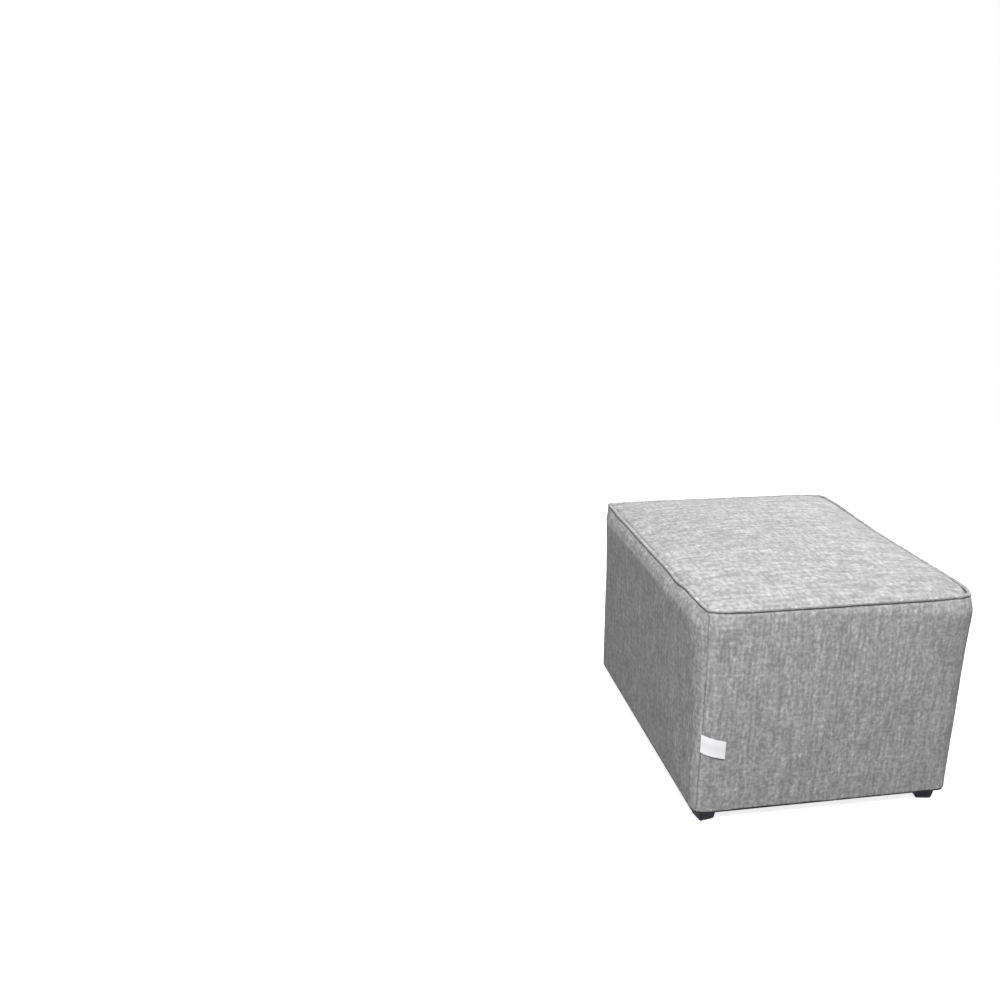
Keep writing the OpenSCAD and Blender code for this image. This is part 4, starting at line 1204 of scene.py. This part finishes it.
def rounded_square(half, radius, z):
    """Points round a level square with rounded corners, anticlockwise as seen from above."""
    points = []
    for quarter in range(4):
        for angle in np.radians(np.linspace(0, 90, 9)) + math.pi / 2 * quarter:
            sign_x, sign_y = [(1, 1), (-1, 1), (-1, -1), (1, -1)][quarter]
            points.append(((half - radius) * sign_x + radius * math.cos(angle),
                           (half - radius) * sign_y + radius * math.sin(angle), z))
    return np.array(points)


def plastic_finish():
    """Black moulded plastic with a fine grain and faint rubbed patches."""
    finish, tree = open_finish("moulded_plastic", IOR=1.45, Specular_IOR_Level=0.2)
    grain = stretched_noise(tree, object_place(tree), (0.0005,) * 3, 2.0)
    rub = stretched_noise(tree, object_place(tree), (0.006, 0.006, 0.003), 4.0)
    return close_finish(finish, mixed(tree, rub, (0.009, 0.009, 0.016, 1), (0.021, 0.0205, 0.034, 1)),
                        spread(tree, rub, 0.42, 0.65), grain, 0.00006)


def felt_finish():
    finish, tree = open_finish("pressed_felt", Sheen_Weight=0.4)
    fibre = stretched_noise(tree, object_place(tree), (0.0004, 0.0015, 0.0006), 4.0)
    return close_finish(finish, mixed(tree, fibre, (0.03, 0.03, 0.03, 1), (0.12, 0.12, 0.115, 1)),
                        spread(tree, fibre, 0.9, 1.0), fibre, 0.0003)


def foot_rings():
    low, high = foot_low.z, foot_high.z
    slope = (foot_top_half - foot_base_half) / (high - low)
    profile = [(0.002, 0.002, low + foot_hollow), (foot_base_half - 0.0016, 0.002, low + foot_hollow),
               (foot_base_half - 0.0012, 0.0022, low), (foot_base_half - 0.0005, 0.0025, low)]
    for rise, cut_in in ((0.0006, 0), (0.004, 0), (0.008, 0), (0.012, 0), (0.0150, 0), (0.0154, foot_groove),
                         (0.0160, foot_groove), (0.0164, 0), (0.0186, 0)):
        profile.append((foot_base_half + slope * rise - cut_in, foot_edge, low + rise))
    profile += [(foot_top_half - 0.0003, foot_edge, high - 0.0003), (foot_top_half - 0.0009, foot_edge, high),
                (0.0085, 0.0085, high), (0.0048, 0.0048, high), (stud_hole, stud_hole, high - stud_hole_rim),
                (stud_hole, stud_hole, high - stud_hole_depth)]
    return np.stack([rounded_square(*entry) for entry in profile])


def stud_rings(low, high):
    """A right-handed thread as rings whose radius climbs one pitch a turn."""
    count, sides = int((high - low) / thread_pitch * 8), 24
    z = np.linspace(low, high, count)[:, None]
    angle = np.radians(np.arange(sides) * 360 / sides)[None, :]
    phase = (z / thread_pitch - angle / (2 * math.pi)) % 1
    crest = np.clip(1.25 - abs(phase - 0.5) * 2.5, 0, 1)
    ends = np.clip(np.minimum(z - low, high - z) / thread_run_out, 0, 1)
    radius = stud_minor - 0.0004 * (1 - ends) + (stud_major - stud_minor) * crest * ends
    return np.stack([radius * np.cos(angle), radius * np.sin(angle), z + 0 * angle], -1)


plastic, felt = plastic_finish(), felt_finish()
pad_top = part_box("foot_pad_front_left")[1].z
pad_profile = [(0.001, 0.001, 0), (pad_half - 0.0005, 0.0012, 0), (pad_half - 0.0001, 0.0015, 0.0004),
               (pad_half, 0.0015, 0.001), (pad_half - 0.0001, 0.0015, pad_top - 0.0003),
               (pad_half - 0.0004, 0.0012, pad_top), (0.001, 0.001, pad_top)]
pad_rings = np.stack([rounded_square(*entry) for entry in pad_profile])
stud_low, stud_high = (corner.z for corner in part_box("foot_stud_front_left"))
for corner in CORNERS:
    centre = np.array([stud_places[corner].x, stud_places[corner].y, 0])
    angle = foot_turn if "left" in corner else -foot_turn
    turn = np.array(Matrix.Rotation(angle, 3, "Z")).T
    body = "foot_" + corner
    for label, rings, finish, node, slot in (
            ("moulded_foot_", foot_rings(), plastic, "foot_", "foot_plastic"),
            ("threaded_stud_", stud_rings(stud_low, stud_high), zinc, "foot_stud_", "zinc_steel"),
            ("felt_pad_", pad_rings, felt, "foot_pad_", "foot_felt")):
        piece = place_object(label + corner, drum_mesh(label + corner, rings @ turn + centre))
        dress(piece, finish, node + corner, body)
    coat_node(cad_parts["foot_washer_" + corner], zinc)

# Floor, light and camera
# A pale floor that the camera sees as white but for the ottoman's own shadow, under soft studio light.
# The camera stands where the photograph was taken from, a little to the left of the front and above.
floor_size = 2.2
floor_mesh = bpy.data.meshes.new("floor")
floor_mesh.from_pydata([(x * floor_size, y * floor_size, 0) for x, y in ((-1, -1), (1, -1), (1, 1), (-1, 1))],
                       [], [(0, 1, 2, 3)])
floor = place_object("floor", floor_mesh)


def seen_by(tree):
    """Masks of what the camera, a reflection or a clear stuff sees, and of what the camera itself sees."""
    path = put(tree, "ShaderNodeLightPath").outputs
    seen = maths(tree, "MAXIMUM", path["Is Camera Ray"], path["Is Glossy Ray"])
    return maths(tree, "MAXIMUM", seen, path["Is Transmission Ray"]), path["Is Camera Ray"]


def floor_finish():
    """Pale and evenly lit where it is seen, darker for bounced light, and clear from below."""
    finish, tree = open_finish("pale_floor", Roughness=1.0, Specular_IOR_Level=0.0, Emission_Strength=1.0)
    shader = tree.nodes["Principled BSDF"]
    seen, by_camera = seen_by(tree)
    tree.links.new(mixed(tree, seen, (0.1, 0.1, 0.1, 1), (0.6, 0.6, 0.6, 1)), shader.inputs["Base Color"])
    tree.links.new(mixed(tree, seen, (0, 0, 0, 1), (0.84, 0.84, 0.84, 1)), shader.inputs["Emission Color"])
    below = put(tree, "ShaderNodeNewGeometry").outputs["Backfacing"]
    either = put(tree, "ShaderNodeMixShader", {0: maths(tree, "MULTIPLY", below, by_camera)})
    tree.links.new(shader.outputs[0], either.inputs[1])
    tree.links.new(put(tree, "ShaderNodeBsdfTransparent").outputs[0], either.inputs[2])
    tree.links.new(either.outputs[0], tree.nodes["Material Output"].inputs["Surface"])
    return finish


floor.data.materials.append(floor_finish())
world = bpy.data.worlds.new("studio")
bpy.context.scene.world = world
world.use_nodes = True
sky = world.node_tree.nodes["Background"]
sky.inputs["Color"].default_value = (1, 1, 1, 1)
world_strength = 0.1
lift = maths(world.node_tree, "MULTIPLY_ADD", seen_by(world.node_tree)[0], 1 - world_strength, world_strength)
world.node_tree.links.new(lift, sky.inputs["Strength"])


def soft_light(name, place, aim, size, power):
    lamp = bpy.data.lights.new(name, "AREA")
    lamp.shape, lamp.size, lamp.energy = "DISK", size, power
    stand = bpy.data.objects.new(name, lamp)
    bpy.context.scene.collection.objects.link(stand)
    stand.location = place
    stand.rotation_euler = (Vector(place) - Vector(aim)).to_track_quat("Z", "Y").to_euler()


soft_light("overhead_light", (0.3, 0.0, 3.0), (0, 0, 0.2), 2.0, 42)
soft_light("back_right_light", (1.4, 1.9, 0.9), (0, 0, 0.2), 1.0, 39)
soft_light("front_left_light", (-1.1, -1.98, 2.46), (0, 0, 0.2), 1.0, 113)

camera_place = (-0.74405, -1.49911, 0.93611)
camera_back = Vector((-0.16636, -0.94057, 0.29604))
camera_roll, camera_lens = math.radians(0.58), 35.21
level_right = Vector((0, 0, 1)).cross(camera_back).normalized()
level_up = camera_back.cross(level_right)
right = level_right * math.cos(camera_roll) + level_up * math.sin(camera_roll)
up = level_up * math.cos(camera_roll) - level_right * math.sin(camera_roll)
camera = bpy.data.objects.new("camera", bpy.data.cameras.new("camera"))
bpy.context.scene.collection.objects.link(camera)
camera_turn = Matrix((right, up, camera_back)).transposed().to_4x4()
camera.matrix_world = Matrix.Translation(camera_place) @ camera_turn
camera.data.lens = camera_lens
bpy.context.scene.camera = camera
bpy.context.scene.view_settings.view_transform = "Standard"
